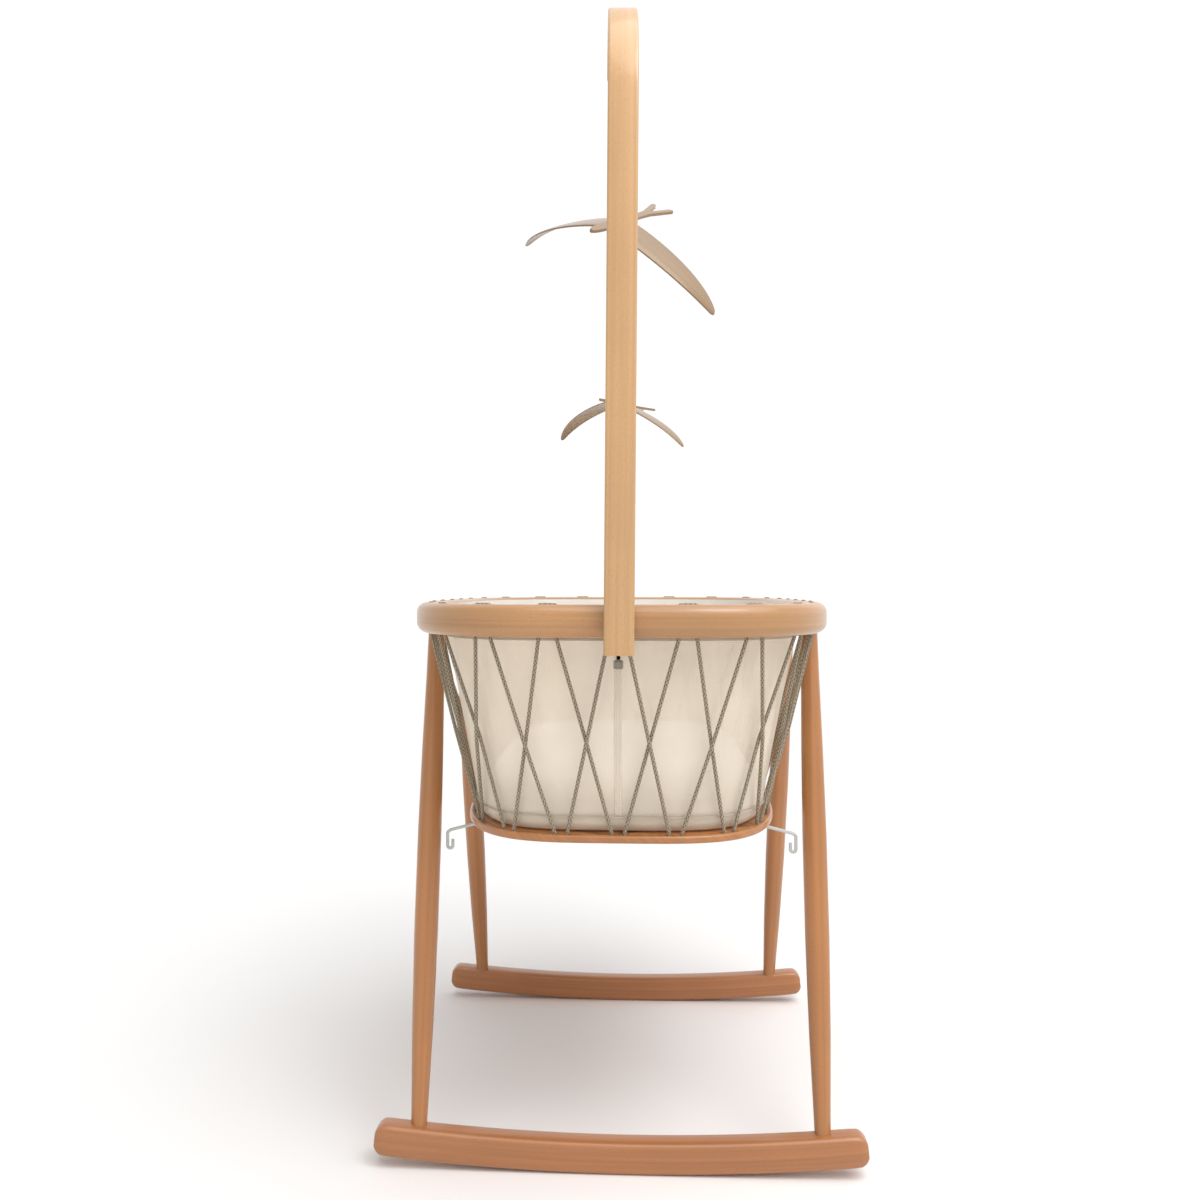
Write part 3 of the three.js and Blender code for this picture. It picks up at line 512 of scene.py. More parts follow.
def braided_cord():
    """Round polyester braid of a light and a dark yarn: small diagonal flecks and no shine."""
    material, tree, shader = new_material("braided_polyester_cord", Roughness=0.85, Sheen_Weight=0.15)
    uv = add_node(tree, "ShaderNodeUVMap", uv_map="grain").outputs["UV"]
    parts = add_node(tree, "ShaderNodeSeparateXYZ", {"Vector": uv})
    # yarns cross every 6 mm along the cord, a little coarser than the real pick so that they show
    pick, yarns_each_way, girth = 0.006, 3, 0.01257
    waves = []
    for sign in (1, -1):
        turn = add_node(tree, "ShaderNodeMath", {0: parts.outputs["Y"], 1: sign * yarns_each_way / girth},
                        operation="MULTIPLY")
        phase = add_node(tree, "ShaderNodeMath", {0: parts.outputs["X"], 1: 1 / pick, 2: turn.outputs[0]},
                         operation="MULTIPLY_ADD")
        angle = add_node(tree, "ShaderNodeMath", {0: phase.outputs[0], 1: 2 * math.pi}, operation="MULTIPLY")
        waves.append(add_node(tree, "ShaderNodeMath", {0: angle.outputs[0]}, operation="SINE").outputs[0])
    braid = add_node(tree, "ShaderNodeMath", {0: waves[0], 1: waves[1]}, operation="MAXIMUM")
    mottle = add_node(tree, "ShaderNodeTexNoise", {"Vector": uv, "Scale": 420.0, "Detail": 2.0})
    height = add_node(tree, "ShaderNodeMath", {0: mottle.outputs["Fac"], 1: 1.6, 2: braid.outputs[0]},
                      operation="MULTIPLY_ADD")
    share = add_node(tree, "ShaderNodeMapRange", {"Value": height.outputs[0], "From Min": 0.2,
                                                  "From Max": 2.0})
    mix = add_node(tree, "ShaderNodeMix", data_type="RGBA")
    set_mix(mix, tree, share.outputs[0], colours().cord_dark, colours().cord_light)
    tree.links.new(mix.outputs[2], shader.inputs["Base Color"])
    bump = add_node(tree, "ShaderNodeBump", {"Height": braid.outputs[0], "Strength": 0.5, "Distance": 0.0004})
    tree.links.new(bump.outputs[0], shader.inputs["Normal"])
    return material


def cloth(name, base, pitch, strength, **values):
    """Woven or knitted cloth: a fine raised thread grid of the given pitch, matt with a soft sheen."""
    material, tree, shader = new_material(name, **values)
    place = add_node(tree, "ShaderNodeTexCoord").outputs["Object"]
    parts = add_node(tree, "ShaderNodeSeparateXYZ", {"Vector": place})
    threads = []
    for axis in ("X", "Y", "Z"):
        angle = add_node(tree, "ShaderNodeMath", {0: parts.outputs[axis], 1: 2 * math.pi / pitch},
                         operation="MULTIPLY")
        threads.append(add_node(tree, "ShaderNodeMath", {0: angle.outputs[0]}, operation="SINE").outputs[0])
    first = add_node(tree, "ShaderNodeMath", {0: threads[0], 1: threads[1]}, operation="ADD")
    grid = add_node(tree, "ShaderNodeMath", {0: first.outputs[0], 1: threads[2]}, operation="ADD")
    tone = add_node(tree, "ShaderNodeTexNoise", {"Vector": place, "Scale": 9.0, "Detail": 3.0})
    share = add_node(tree, "ShaderNodeMapRange", {"Value": tone.outputs["Fac"], "From Min": 0.3,
                                                  "From Max": 0.7})
    mix = add_node(tree, "ShaderNodeMix", data_type="RGBA")
    set_mix(mix, tree, share.outputs[0], shade(base, 0.93), shade(base, 1.03))
    tree.links.new(mix.outputs[2], shader.inputs["Base Color"])
    bump = add_node(tree, "ShaderNodeBump", {"Height": grid.outputs[0], "Strength": strength,
                                             "Distance": 0.0003})
    tree.links.new(bump.outputs[0], shader.inputs["Normal"])
    return material


def metal(name, base, roughness, grit=900.0, metallic=1.0):
    """Plated or painted steel with a faint fine grit in its gloss."""
    material, tree, shader = new_material(name, Metallic=metallic)
    place = add_node(tree, "ShaderNodeTexCoord").outputs["Object"]
    specks = add_node(tree, "ShaderNodeTexNoise", {"Vector": place, "Scale": grit, "Detail": 2.0})
    rough = add_node(tree, "ShaderNodeMapRange", {"Value": specks.outputs["Fac"], "To Min": roughness - 0.07,
                                                  "To Max": roughness + 0.09})
    tree.links.new(rough.outputs[0], shader.inputs["Roughness"])
    mix = add_node(tree, "ShaderNodeMix", data_type="RGBA")
    set_mix(mix, tree, specks.outputs["Fac"], shade(base, 0.9), shade(base, 1.05))
    tree.links.new(mix.outputs[2], shader.inputs["Base Color"])
    bump = add_node(tree, "ShaderNodeBump", {"Height": specks.outputs["Fac"], "Strength": 0.08,
                                             "Distance": 0.0002})
    tree.links.new(bump.outputs[0], shader.inputs["Normal"])
    return material


def make_materials():
    tint = colours()
    return {
        "beech": wood("steam_bent_beech_satin_lacquer", tint.beech),
        "leg_beech": wood("turned_beech_satin_lacquer", tint.leg_beech, 0.13),
        "pale_beech": wood("laminated_beech_satin_lacquer", tint.pale_beech, 0.1),
        "rocker_beech": wood("oiled_beech_rocker", tint.rocker_beech, 0.14),
        "bird_beech": wood("bent_beech_veneer", tint.bird_beech, 0.1, 0.1, 0.0),
        "cord": braided_cord(),
        # sheer warp-knitted mesh: light passes through its holes
        "mesh": cloth("sheer_polyester_mesh", tint.mesh_cloth, 0.0024, 0.25,
                      Roughness=0.9, Alpha=0.55, Sheen_Weight=0.1),
        "seam": cloth("woven_polyester_tape", tint.seam, 0.0016, 0.3, Roughness=0.9, Sheen_Weight=0.1),
        "binding": cloth("woven_cotton_tape", tint.binding, 0.0016, 0.35, Roughness=0.92, Sheen_Weight=0.2),
        "cover": cloth("knitted_cotton_cover", tint.cover, 0.003, 0.4, Roughness=0.95, Sheen_Weight=0.25),
        "rod": metal("powder_coated_wire", tint.rod, 0.42, 1400.0, 0.0),
        "zinc": metal("zinc_plated_steel", tint.zinc, 0.38),
        "black": metal("black_oxide_steel", linear("#1a1816"), 0.45),
        "brass": metal("plain_brass", linear("#b08d4f"), 0.3),
        "rubber": metal("moulded_rubber", linear("#2b2927"), 0.8, 700.0, 0.0),
        "thread": cloth("nylon_thread", linear("#f2f0ea"), 0.0008, 0.1, Roughness=0.4),
    }


MATERIALS = {}
TREES = {}


# ---------- lacing route ----------
def hole(line, pair, side, spacing, z):
    """One lacing hole's centre: side -1 or 1 of its pair, on a line with one station for each pair."""
    point, normal = line[pair % sizes().hole_pairs]
    tangent = Vector((-normal.y, normal.x, 0))
    place = point + tangent * (side * spacing / 2)
    return Vector((place.x, place.y, z))


def rim_hole(pair, side, z=RIM_LOW[2] - HOLE_CLEAR):
    return hole(rim_line(1), pair, side, sizes().rim_pair, z)


def board_hole(pair, side, z=BOARD_HIGH[2] + HOLE_CLEAR):
    return hole(board_line(1), pair, side, sizes().board_pair, z)


def nearest_point(a0, a1, b0, b1):
    """The point of line a0-a1 nearest to line b0-b1."""
    u, w, r = a1 - a0, b1 - b0, a0 - b0
    share = (u.dot(w) * w.dot(r) - w.dot(w) * u.dot(r)) / (u.dot(u) * w.dot(w) - u.dot(w) ** 2)
    return a0 + u * share


def crossing(pair, outward):
    """Midway between two runs that pass each other, moved in or out so that the cords lie side by side."""
    up = (board_hole(pair, 1), rim_hole(pair + 1, -1))
    down = (rim_hole(pair, 1), board_hole(pair + 1, -1))
    middle = nearest_point(*up, *down).lerp(nearest_point(*down, *up), 0.5)
    out = (down[0] - down[1]).cross(up[1] - up[0]).normalized()
    return middle + out * outward * CROSSING_OFFSET


def lacing_path(first, outward):
    """One cord: over the rim at every second pair, under the board at the pairs between."""
    under, over = BOARD_LOW[2] + STITCH_SUNK, RIM_HIGH[2] - STITCH_SUNK / 2
    pairs = sizes().hole_pairs
    path = [board_hole(first, 1, under - CORD_END_DROP), board_hole(first, 1)]
    for pair in range(first, first + pairs, 2):
        path += [crossing(pair, outward), rim_hole(pair + 1, -1), rim_hole(pair + 1, -1, over)]
        path += [rim_hole(pair + 1, 1, over), rim_hole(pair + 1, 1), crossing(pair + 1, outward)]
        path.append(board_hole(pair + 2, -1))
        if pair + 2 < first + pairs:
            path += [board_hole(pair + 2, -1, under), board_hole(pair + 2, 1, under), board_hole(pair + 2, 1)]
        else:
            path.append(board_hole(pair + 2, -1, under - CORD_END_DROP))
    return path


def hole_cutters(name, line, spacing, low, high, groove_z):
    """Chamfered lacing holes, and the groove between the holes of a pair."""
    cutters = []
    radius, height = sizes().hole / 2, high - low
    mouth = radius + HOLE_CHAMFER
    profile = [(mouth, -0.004), (mouth, -0.0002), (radius, 0.001),
               (radius, height - 0.001), (mouth, height + 0.0002), (mouth, height + 0.004)]
    for pair in range(sizes().hole_pairs):
        ends = [hole(line, pair, side, spacing, low) for side in (-1, 1)]
        for foot in ends:
            cutters.append(turned("hole", foot, Vector((0, 0, 1)), profile, 16))
        lift = Vector((0, 0, groove_z - low))
        cutters.append(sweep("groove", bar(ends[0] + lift, ends[1] + lift, radius * 1.2, 16)))
    return join(name, cutters)


# ---------- operators ----------
class BASSINET_OT_stage(bpy.types.Operator):
    """Make the pale floor, the soft studio light and the camera"""
    bl_idname = "bassinet.stage"
    bl_label = "Stage"

    def execute(self, context):
        camera_data = bpy.data.cameras.new("camera")
        camera_data.lens = CAMERA_LENS_MM
        camera_data.sensor_width = CAMERA_SENSOR_MM
        camera_data.shift_x = CAMERA_SHIFT
        camera = bpy.data.objects.new("camera", camera_data)
        camera.location = CAMERA_PLACE
        level = math.cos(CAMERA_PITCH)
        aim = Vector((-math.sin(CAMERA_YAW) * level, math.cos(CAMERA_YAW) * level, -math.sin(CAMERA_PITCH)))
        camera.rotation_euler = aim.to_track_quat("-Z", "Y").to_euler()
        context.collection.objects.link(camera)
        context.scene.camera = camera
        context.scene.view_settings.view_transform = "Standard"
        make_floor()
        make_light(context)
        return {"FINISHED"}


def make_floor():
    """A wide matt floor, a shade off white."""
    corners = [(x * FLOOR_HALF, y * FLOOR_HALF, 0) for x, y in ((-1, -1), (1, -1), (1, 1), (-1, 1))]
    floor = new_piece("floor", corners, [(0, 1, 2, 3)])
    material, tree, shader = new_material("matt_white_floor", Roughness=0.8)
    place = add_node(tree, "ShaderNodeTexCoord").outputs["Object"]
    tone = add_node(tree, "ShaderNodeTexNoise", {"Vector": place, "Scale": 2.0})
    mix = add_node(tree, "ShaderNodeMix", data_type="RGBA")
    set_mix(mix, tree, tone.outputs["Fac"], linear("#f7f6f5"), linear("#fbfaf9"))
    tree.links.new(mix.outputs[2], shader.inputs["Base Color"])
    floor.data.materials.append(material)


def make_light(context):
    """An even white studio: a broad soft sun and a softbox from the right, and a backdrop that is brighter to
    the eye and in reflections than as a light."""
    world = bpy.data.worlds.new("studio")
    world.use_nodes = True
    tree = world.node_tree
    rays = add_node(tree, "ShaderNodeLightPath")
    seen = add_node(tree, "ShaderNodeMath", {
        0: rays.outputs["Is Camera Ray"], 1: rays.outputs["Is Glossy Ray"]}, operation="MAXIMUM")
    strength = add_node(tree, "ShaderNodeMapRange", {"Value": seen.outputs[0], "To Min": 0.5, "To Max": 1.05})
    tree.links.new(strength.outputs[0], tree.nodes["Background"].inputs["Strength"])
    tree.nodes["Background"].inputs["Color"].default_value = linear("#ffffff")
    context.scene.world = world
    data = bpy.data.lights.new("soft_sun", "SUN")
    data.energy = 1.95
    data.angle = math.radians(70)
    sun = bpy.data.objects.new("soft_sun", data)
    sun.rotation_euler = Vector((0.38, -0.32, 1.0)).to_track_quat("Z", "Y").to_euler()
    context.collection.objects.link(sun)
    box = bpy.data.lights.new("top_softbox", "AREA")
    box.shape, box.size, box.energy = "DISK", 1.0, 13
    lamp = bpy.data.objects.new("top_softbox", box)
    lamp.location = (0.8, -1.1, 2.3)
    lamp.rotation_euler = Vector((0.8, -0.8, 1.0)).to_track_quat("Z", "Y").to_euler()
    context.collection.objects.link(lamp)


class BASSINET_OT_lacing(bpy.types.Operator):
    """Make the two braided cords that lace the board to the rim, and their knots"""
    bl_idname = "bassinet.lacing"
    bl_label = "Lacing cords"

    def execute(self, context):
        half = sizes().hole_pairs // 2
        for name, first, outward in (("outer", half, 1), ("inner", half + 1, -1)):
            path = lacing_path(first, outward)
            cord = tube(f"lacing_cord_{name}", path, sizes().cord, MATERIALS["cord"])
            dress(cord, MATERIALS["cord"], nodes=[f"lacing_{name}"])
            knots = [stopper_knot(f"knot_{name}_{i}", end) for i, end in enumerate((path[0], path[-1]))]
            dress(join(f"lacing_knots_{name}", knots), MATERIALS["cord"])
        return {"FINISHED"}


def stopper_knot(name, foot):
    """A small tight knot: the cord wound twice round its own end, with a short tail."""
    reach = sizes().cord * 0.55
    path = [foot]
    for i in range(1, 25):
        angle = math.pi * 4 * i / 24
        path.append(foot + Vector((math.cos(angle) * reach, math.sin(angle) * reach, -0.0055 * i / 24)))
    path.append(foot + Vector((reach * 1.6, reach * 0.6, -0.011)))
    return tube(name, path, sizes().cord * 0.8, MATERIALS["cord"], 0.001, 10)


class BASSINET_OT_rim(bpy.types.Operator):
    """Make the bent rim and the base board, with their lacing holes"""
    bl_idname = "bassinet.rim"
    bl_label = "Rim and board"

    def execute(self, context):
        size = sizes()
        middle = (RIM_LOW[2] + RIM_HIGH[2]) / 2
        section = rounded_section(size.rim_width / 2, (RIM_HIGH[2] - RIM_LOW[2]) / 2, size.rim_edge, 6)
        line = rim_line(10)
        sections = [[Vector((p.x + n.x * a, p.y + n.y * a, middle + b)) for a, b in section] for p, n in line]
        rim = sweep("bent_rim", sections, closed=True, smooth=60)
        holes = hole_cutters("rim_holes", rim_line(1), size.rim_pair, RIM_LOW[2], RIM_HIGH[2],
                             RIM_HIGH[2] - GROOVE_SINK)
        carve(rim, holes)
        dress(rim, MATERIALS["beech"], nodes=["rim"])
        dress(make_board(), MATERIALS["leg_beech"], nodes=["base_board"])
        return {"FINISHED"}


def make_board():
    """The base board with rounded edges, its lacing holes and the grooves under it."""
    size = sizes()
    low, high, edge = BOARD_LOW[2], BOARD_HIGH[2], 0.0035
    line = board_line(8)
    rings = []
    for i in range(5):
        angle = math.radians(90 * i / 4)
        inset = edge * (1 - math.sin(angle))
        rings.append(ring_at(line, size.board_margin - inset, low + edge * (1 - math.cos(angle))))
    for i in range(5):
        angle = math.radians(90 * i / 4)
        inset = edge * (1 - math.cos(angle))
        rings.append(ring_at(line, size.board_margin - inset, high - edge * (1 - math.sin(angle))))
    board = sweep("laced_board", rings, smooth=50)
    holes = hole_cutters("board_holes", board_line(1), size.board_pair, low, high, low + GROOVE_SINK)
    carve(board, holes)
    planar_grain(board)
    return board


def planar_grain(piece):
    """Lays the grain straight along Y on a flat piece."""
    mesh = piece.data
    layer = mesh.uv_layers["grain"]
    for loop in mesh.loops:
        place = mesh.vertices[loop.vertex_index].co
        layer.data[loop.index].uv = (place.y, place.x + place.z)


class BASSINET_OT_stand(bpy.types.Operator):
    """Make the turned legs and the curved rockers"""
    bl_idname = "bassinet.stand"
    bl_label = "Legs and rockers"

    def execute(self, context):
        for end in ("near", "far"):
            for side in ("left", "right"):
                make_leg(f"{end}_{side}")
            make_rocker(end)
        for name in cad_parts:
            if name.startswith(("leg_stud", "rocker_screw", "saddle_screw")):
                paint(name, MATERIALS["zinc"])
            if name.startswith("rim_insert"):
                paint(name, MATERIALS["brass"])
        return {"FINISHED"}


def make_leg(place):
    """A turned leg, slimmer towards its foot and a little towards its top."""
    low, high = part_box(f"leg_{place}")
    toward = 1 if low[1] + high[1] > 2 * MIDDLE_Y else -1
    side = 1 if low[0] > 0 else -1
    foot = Vector((side * LEG_FOOT[0], MIDDLE_Y + toward * LEG_FOOT[1], LEG_FOOT_HEIGHT))
    top = Vector((side * LEG_TOP[0], MIDDLE_Y + toward * LEG_TOP[1], RIM_LOW[2]))
    span = (top - foot).length
    shares = (0, 0.03, 0.06, 0.12, 0.2, 0.29, 0.38, 0.48, 0.58, 0.67, 0.75, 0.83, 0.9, 0.96, 1.0)
    profile = [(leg_radius(share), share * span) for share in shares]
    leg = turned(f"turned_leg_{place}", foot, top - foot, profile, 40, 60)
    dress(leg, MATERIALS["leg_beech"], nodes=[f"leg_{place}"])


def leg_radius(share):
    """The leg's radius at a share of its length from the foot."""
    known = ((0, 10), (0.06, 11), (0.2, 14.2), (0.38, 16.3), (0.58, 16.5), (0.75, 15), (0.9, 12.8), (1, 12))
    for (s0, r0), (s1, r1) in zip(known, known[1:]):
        if share <= s1:
            return (r0 + (r1 - r0) * (share - s0) / (s1 - s0)) * MM
    return known[-1][1] * MM


def make_rocker(end):
    """A curved runner with soft edges and rounded ends."""
    low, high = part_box(f"rocker_{end}")
    radius, height = ROCKER_RADIUS, ROCKER_HEIGHT
    half_length = (high[0] - low[0]) / 2
    half_width = (high[1] - low[1]) / 2
    y = (low[1] + high[1]) / 2
    sweep_angle = math.asin(half_length / radius)
    angles = [sweep_angle * (2 * i / 64 - 1) for i in range(65)]
    # towards each end: the distance from it and the share of the full section there
    tips = ((0.0006, 0.5), (0.0032, 0.72), (0.0068, 0.88), (0.0105, 0.97))
    stations = [(-sweep_angle + tip / radius, share) for tip, share in tips]
    stations += [(a, 1.0) for a in angles if abs(a) <= sweep_angle - ROCKER_ROUND_END / radius]
    stations += [(sweep_angle - tip / radius, share) for tip, share in reversed(tips)]
    sections = []
    for angle, share in stations:
        up = Vector((-math.sin(angle), 0, math.cos(angle)))
        middle = Vector((0, y, radius)) - up * (radius - height / 2)
        width = half_width * (0.55 + 0.45 * share)
        points = rounded_section(width, height / 2 * share, ROCKER_EDGE * share, 4)
        sections.append([middle + Vector((0, 1, 0)) * a + up * b for a, b in points])
    rocker = sweep(f"curved_rocker_{end}", sections, smooth=50)
    dress(rocker, MATERIALS["rocker_beech"], nodes=[f"rocker_{end}"])


class BASSINET_OT_liner(bpy.types.Operator):
    """Make the mesh liner, its binding and seams, and the mattress"""
    bl_idname = "bassinet.liner"
    bl_label = "Liner and mattress"

    def execute(self, context):
        make_liner()
        make_mattress()
        return {"FINISHED"}


LINER_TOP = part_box("liner")[1][2]
LINER_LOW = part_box("liner")[0][2]


def liner_ring(lines, z, inset):
    """The liner's face at a height: on the board's outline low down, inside the rim at the top."""
    share = min(max((z - LINER_LOW) / (RIM_LOW[2] - LINER_LOW), 0), 1)
    low = ring_at(lines[0], -0.006 - inset, z)
    high = ring_at(lines[1], -sizes().rim_width / 2 - 0.0012 - inset, z)
    return [a.lerp(b, share) for a, b in zip(low, high)]


def make_liner():
    """The mesh bag: a rounded floor edge, a tapering wall with soft folds, and its tapes and seams."""
    lines = (board_line(12), rim_line(12))
    wall = LINER_TOP - LINER_LOW - LINER_FLOOR_EDGE
    heights = [LINER_LOW + LINER_FLOOR_EDGE + wall * i / 46 for i in range(47)]
    floor_edge = ((0.0006, LINER_FLOOR_EDGE), (0.0012, 0.009), (0.004, 0.004))  # height and inset
    rings = [liner_ring(lines, LINER_LOW + height, inset) for height, inset in floor_edge]
    rings += [liner_ring(lines, z, 0) for z in heights]
    rings = [[wrinkle(p) for p in ring] for ring in rings]
    count = len(rings[0])
    vertices = [p for ring in rings for p in ring]
    faces = [tuple(reversed(range(count)))]
    for i in range(len(rings) - 1):
        for j in range(count):
            k = (j + 1) % count
            faces.append((i * count + j, i * count + k, (i + 1) * count + k, (i + 1) * count + j))
    liner = new_piece("mesh_liner", vertices, faces, smooth=80)
    thicken = liner.modifiers.new("cloth thickness", "SOLIDIFY")
    thicken.thickness = sizes().liner_cloth
    thicken.offset = -1
    dress(liner, MATERIALS["mesh"], nodes=["liner"])
    make_binding(lines)


def wrinkle(p):
    """Moves a point of the liner in by a few millimetres of soft folds, most at middle height."""
    height = (p.z - LINER_LOW) / (RIM_LOW[2] - LINER_LOW)
    if height >= 1 or height <= 0.02:
        return p
    depth = math.sin(math.pi * min(height, 1)) ** 0.7
    broad = noise.noise(Vector((p.x * 9, p.y * 9, p.z * 3)))
    fine = noise.noise(Vector((p.x * 34, p.y * 34, p.z * 9 + 4)))
    push = -(0.0035 * (broad + 0.6) + 0.0012 * (fine + 0.5)) * depth
    direction = Vector((p.x, p.y - MIDDLE_Y, 0)).normalized()
    return p + direction * push


def make_binding(lines):
    """Woven tape round the liner's top edge, a taupe tape under the rim that also paints the shade line below
    the rim, and a sewn hem just above the board.
    """
    top, low = LINER_TOP, LINER_TOP - LINER_BAND
    corners = ((0.0017, low), (0.0019, top), (0.003, top), (0.003, low))
    rings = [liner_ring(lines, z, inset) for inset, z in corners]
    band = sweep("liner_top_binding", rings, closed=True, smooth=50)
    dress(band, MATERIALS["binding"], nodes=["liner_hem"])
    # the taupe tape just under the rim is partly real tape and partly painted shade: it draws the dark line
    # of shade below the rim
    tapes = (("liner_lower_hem", LINER_LOW + 0.020, 0.0013), ("liner_rim_tape_painted_shade", RIM_LOW[2] - 0.0025, 0.002))
    for name, z, half in tapes:
        tape = sweep(name, tape_sections(liner_ring(lines, z, -0.001), half), closed=True, smooth=60)
        dress(tape, MATERIALS["seam"])
    hem_line = liner_ring(lines, LINER_LOW + 0.0245, -0.0005)
    sewn = stitches("liner_hem_stitches", hem_line, MATERIALS["seam"], True)
    dress(sewn, MATERIALS["seam"])
    for name, station in (("near", 0), ("far", len(lines[0]) // 2)):
        make_seam(name, lines, station)


def tape_sections(path, half):
    """Upright flat sections of a tape of the given half height, with its face outwards."""
    sections = []
    for i, p in enumerate(path):
        after = path[(i + 1) % len(path)]
        out = (after - p).cross(Vector((0, 0, 1))).normalized()
        section = rounded_section(0.0005, half, 0.0004, 2)
        sections.append([p + out * a + Vector((0, 0, b)) for a, b in section])
    return sections


def make_seam(name, lines, station):
    """An upright lapped seam of the liner's wall, with a row of stitches on each side."""
    toward = -1 if name == "near" else 1
    heights = [LINER_LOW + 0.023 + (RIM_LOW[2] - LINER_LOW - 0.034) * i / 40 for i in range(41)]
    spine = [wrinkle(liner_ring(lines, z, 0)[station]) + Vector((0, toward * 0.0011, 0)) for z in heights]
    lap_section = rounded_section(0.0003, 0.004, 0.0002, 1)
    sections = [[p + Vector((-toward * b, toward * a, 0)) for a, b in lap_section] for p in spine]
    lap = sweep(f"liner_seam_{name}", sections, smooth=60)
    dress(lap, MATERIALS["mesh"])
    rows = [stitches("row", [p + Vector((x, toward * 0.0003, 0)) for p in spine], MATERIALS["cover"])
            for x in (-0.0032, 0.0032)]
    dress(join(f"liner_seam_stitches_{name}", rows), MATERIALS["cover"])


def make_mattress():
    """A firm foam pad in a knitted cover: crowned top, soft edges and a piped seam."""
    low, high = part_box("mattress")
    lines = board_line(8)
    shoulder = high[2] - PAD_CROWN
    rings = []
    for i in range(6):
        angle = math.radians(90 * i / 5)
        inset = PAD_INSET + PAD_EDGE * (1 - math.sin(angle))
        rings.append(ring_at(lines, -inset, low[2] + PAD_EDGE * (1 - math.cos(angle))))
    for i in range(6):
        angle = math.radians(90 * i / 5)
        inset = PAD_INSET + PAD_EDGE * (1 - math.cos(angle))
        rings.append(ring_at(lines, -inset, shoulder - PAD_EDGE * (1 - math.sin(angle))))
    edge_ring = rings[-1]
    for share in (0.85, 0.65, 0.4, 0.15):
        crown = shoulder + 0.003 * (1 - share)
        rings.append([Vector((p.x * share, MIDDLE_Y + (p.y - MIDDLE_Y) * share, crown)) for p in edge_ring])
    pad = sweep("mattress_pad", rings, smooth=80)
    pipe_at = ring_at(lines, 0.0005 - PAD_INSET, high[2] - 0.02)
    round_pipe = rounded_section(0.0016, 0.0016, 0.0015, 3)
    sections = []
    for p, (_, out) in zip(pipe_at, lines):
        sections.append([p + out * a + Vector((0, 0, b)) for a, b in round_pipe])
    piping = sweep("mattress_piping", sections, closed=True, smooth=80)
    dress(pad, MATERIALS["cover"], nodes=["mattress"])
    dress(piping, MATERIALS["binding"])


class BASSINET_OT_crook(bpy.types.Operator):
    """Make the crook, its clamp and the screw eye"""
    bl_idname = "bassinet.crook"
    bl_label = "Crook and clamp"

    def execute(self, context):
        make_crook()
        paint("clamp_strap", MATERIALS["zinc"])
        paint("strap_screw_1", MATERIALS["zinc"])
        paint("strap_screw_2", MATERIALS["zinc"])
        paint("clamp_pad", MATERIALS["rubber"])
        paint("screw_eye", MATERIALS["brass"])
        make_clamp_screw()
        return {"FINISHED"}


CROOK_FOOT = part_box("crook")[0][2]
CROOK_LEAN = math.radians(0.43)
CROOK_TURN = math.radians(2.1)


def crook_place(point):
    """From the upright strip's own frame to the basket's: leant a little and turned a little."""
    turn = Euler((0, CROOK_LEAN, CROOK_TURN), "XYZ").to_matrix()
    base = Vector((0.0025 - RIM_HIGH[2] * math.sin(CROOK_LEAN), MIDDLE_Y - 0.4399, 0))
    return base + turn @ point


def make_crook():
    """A flat strip of laminated beech, bent back over the basket, its tip rounded."""
    radius = CROOK_BEND_RADIUS
    stations = [(Vector((0, 0, CROOK_FOOT + 0.0001)), 0.0, 1.0)]
    for i in range(1, 12):
        stations.append((Vector((0, 0, CROOK_FOOT + (CROOK_STRAIGHT_TO - CROOK_FOOT) * i / 12)), 0.0, 1.0))
    for i in range(49):
        angle = math.radians(CROOK_BEND_DEGREES * i / 48)
        out, up = radius * (1 - math.cos(angle)), radius * math.sin(angle)
        stations.append((Vector((0, out, CROOK_STRAIGHT_TO + up)), angle, 1.0))
    last, angle, _ = stations[-1]
    ahead = Vector((0, math.sin(angle), math.cos(angle)))
    for i in range(1, 9):
        reach = CROOK_TIP * math.sin(math.radians(90 * i / 8))
        stations.append((last + ahead * reach, angle, max(math.cos(math.radians(88 * i / 8)), 0.12)))
    sections = []
    for point, angle, share in stations:
        back = Vector((0, math.cos(angle), -math.sin(angle)))
        half_width = max(CROOK_HALF_WIDTH * share, CROOK_EDGE)
        shape = rounded_section(half_width, CROOK_HALF_THICKNESS, CROOK_EDGE * 0.99, 3)
        sections.append([crook_place(point + Vector((a, 0, 0)) + back * b) for a, b in shape])
    crook = sweep("bent_crook", sections, smooth=45)
    dress(crook, MATERIALS["pale_beech"], "crook", ["crook"])


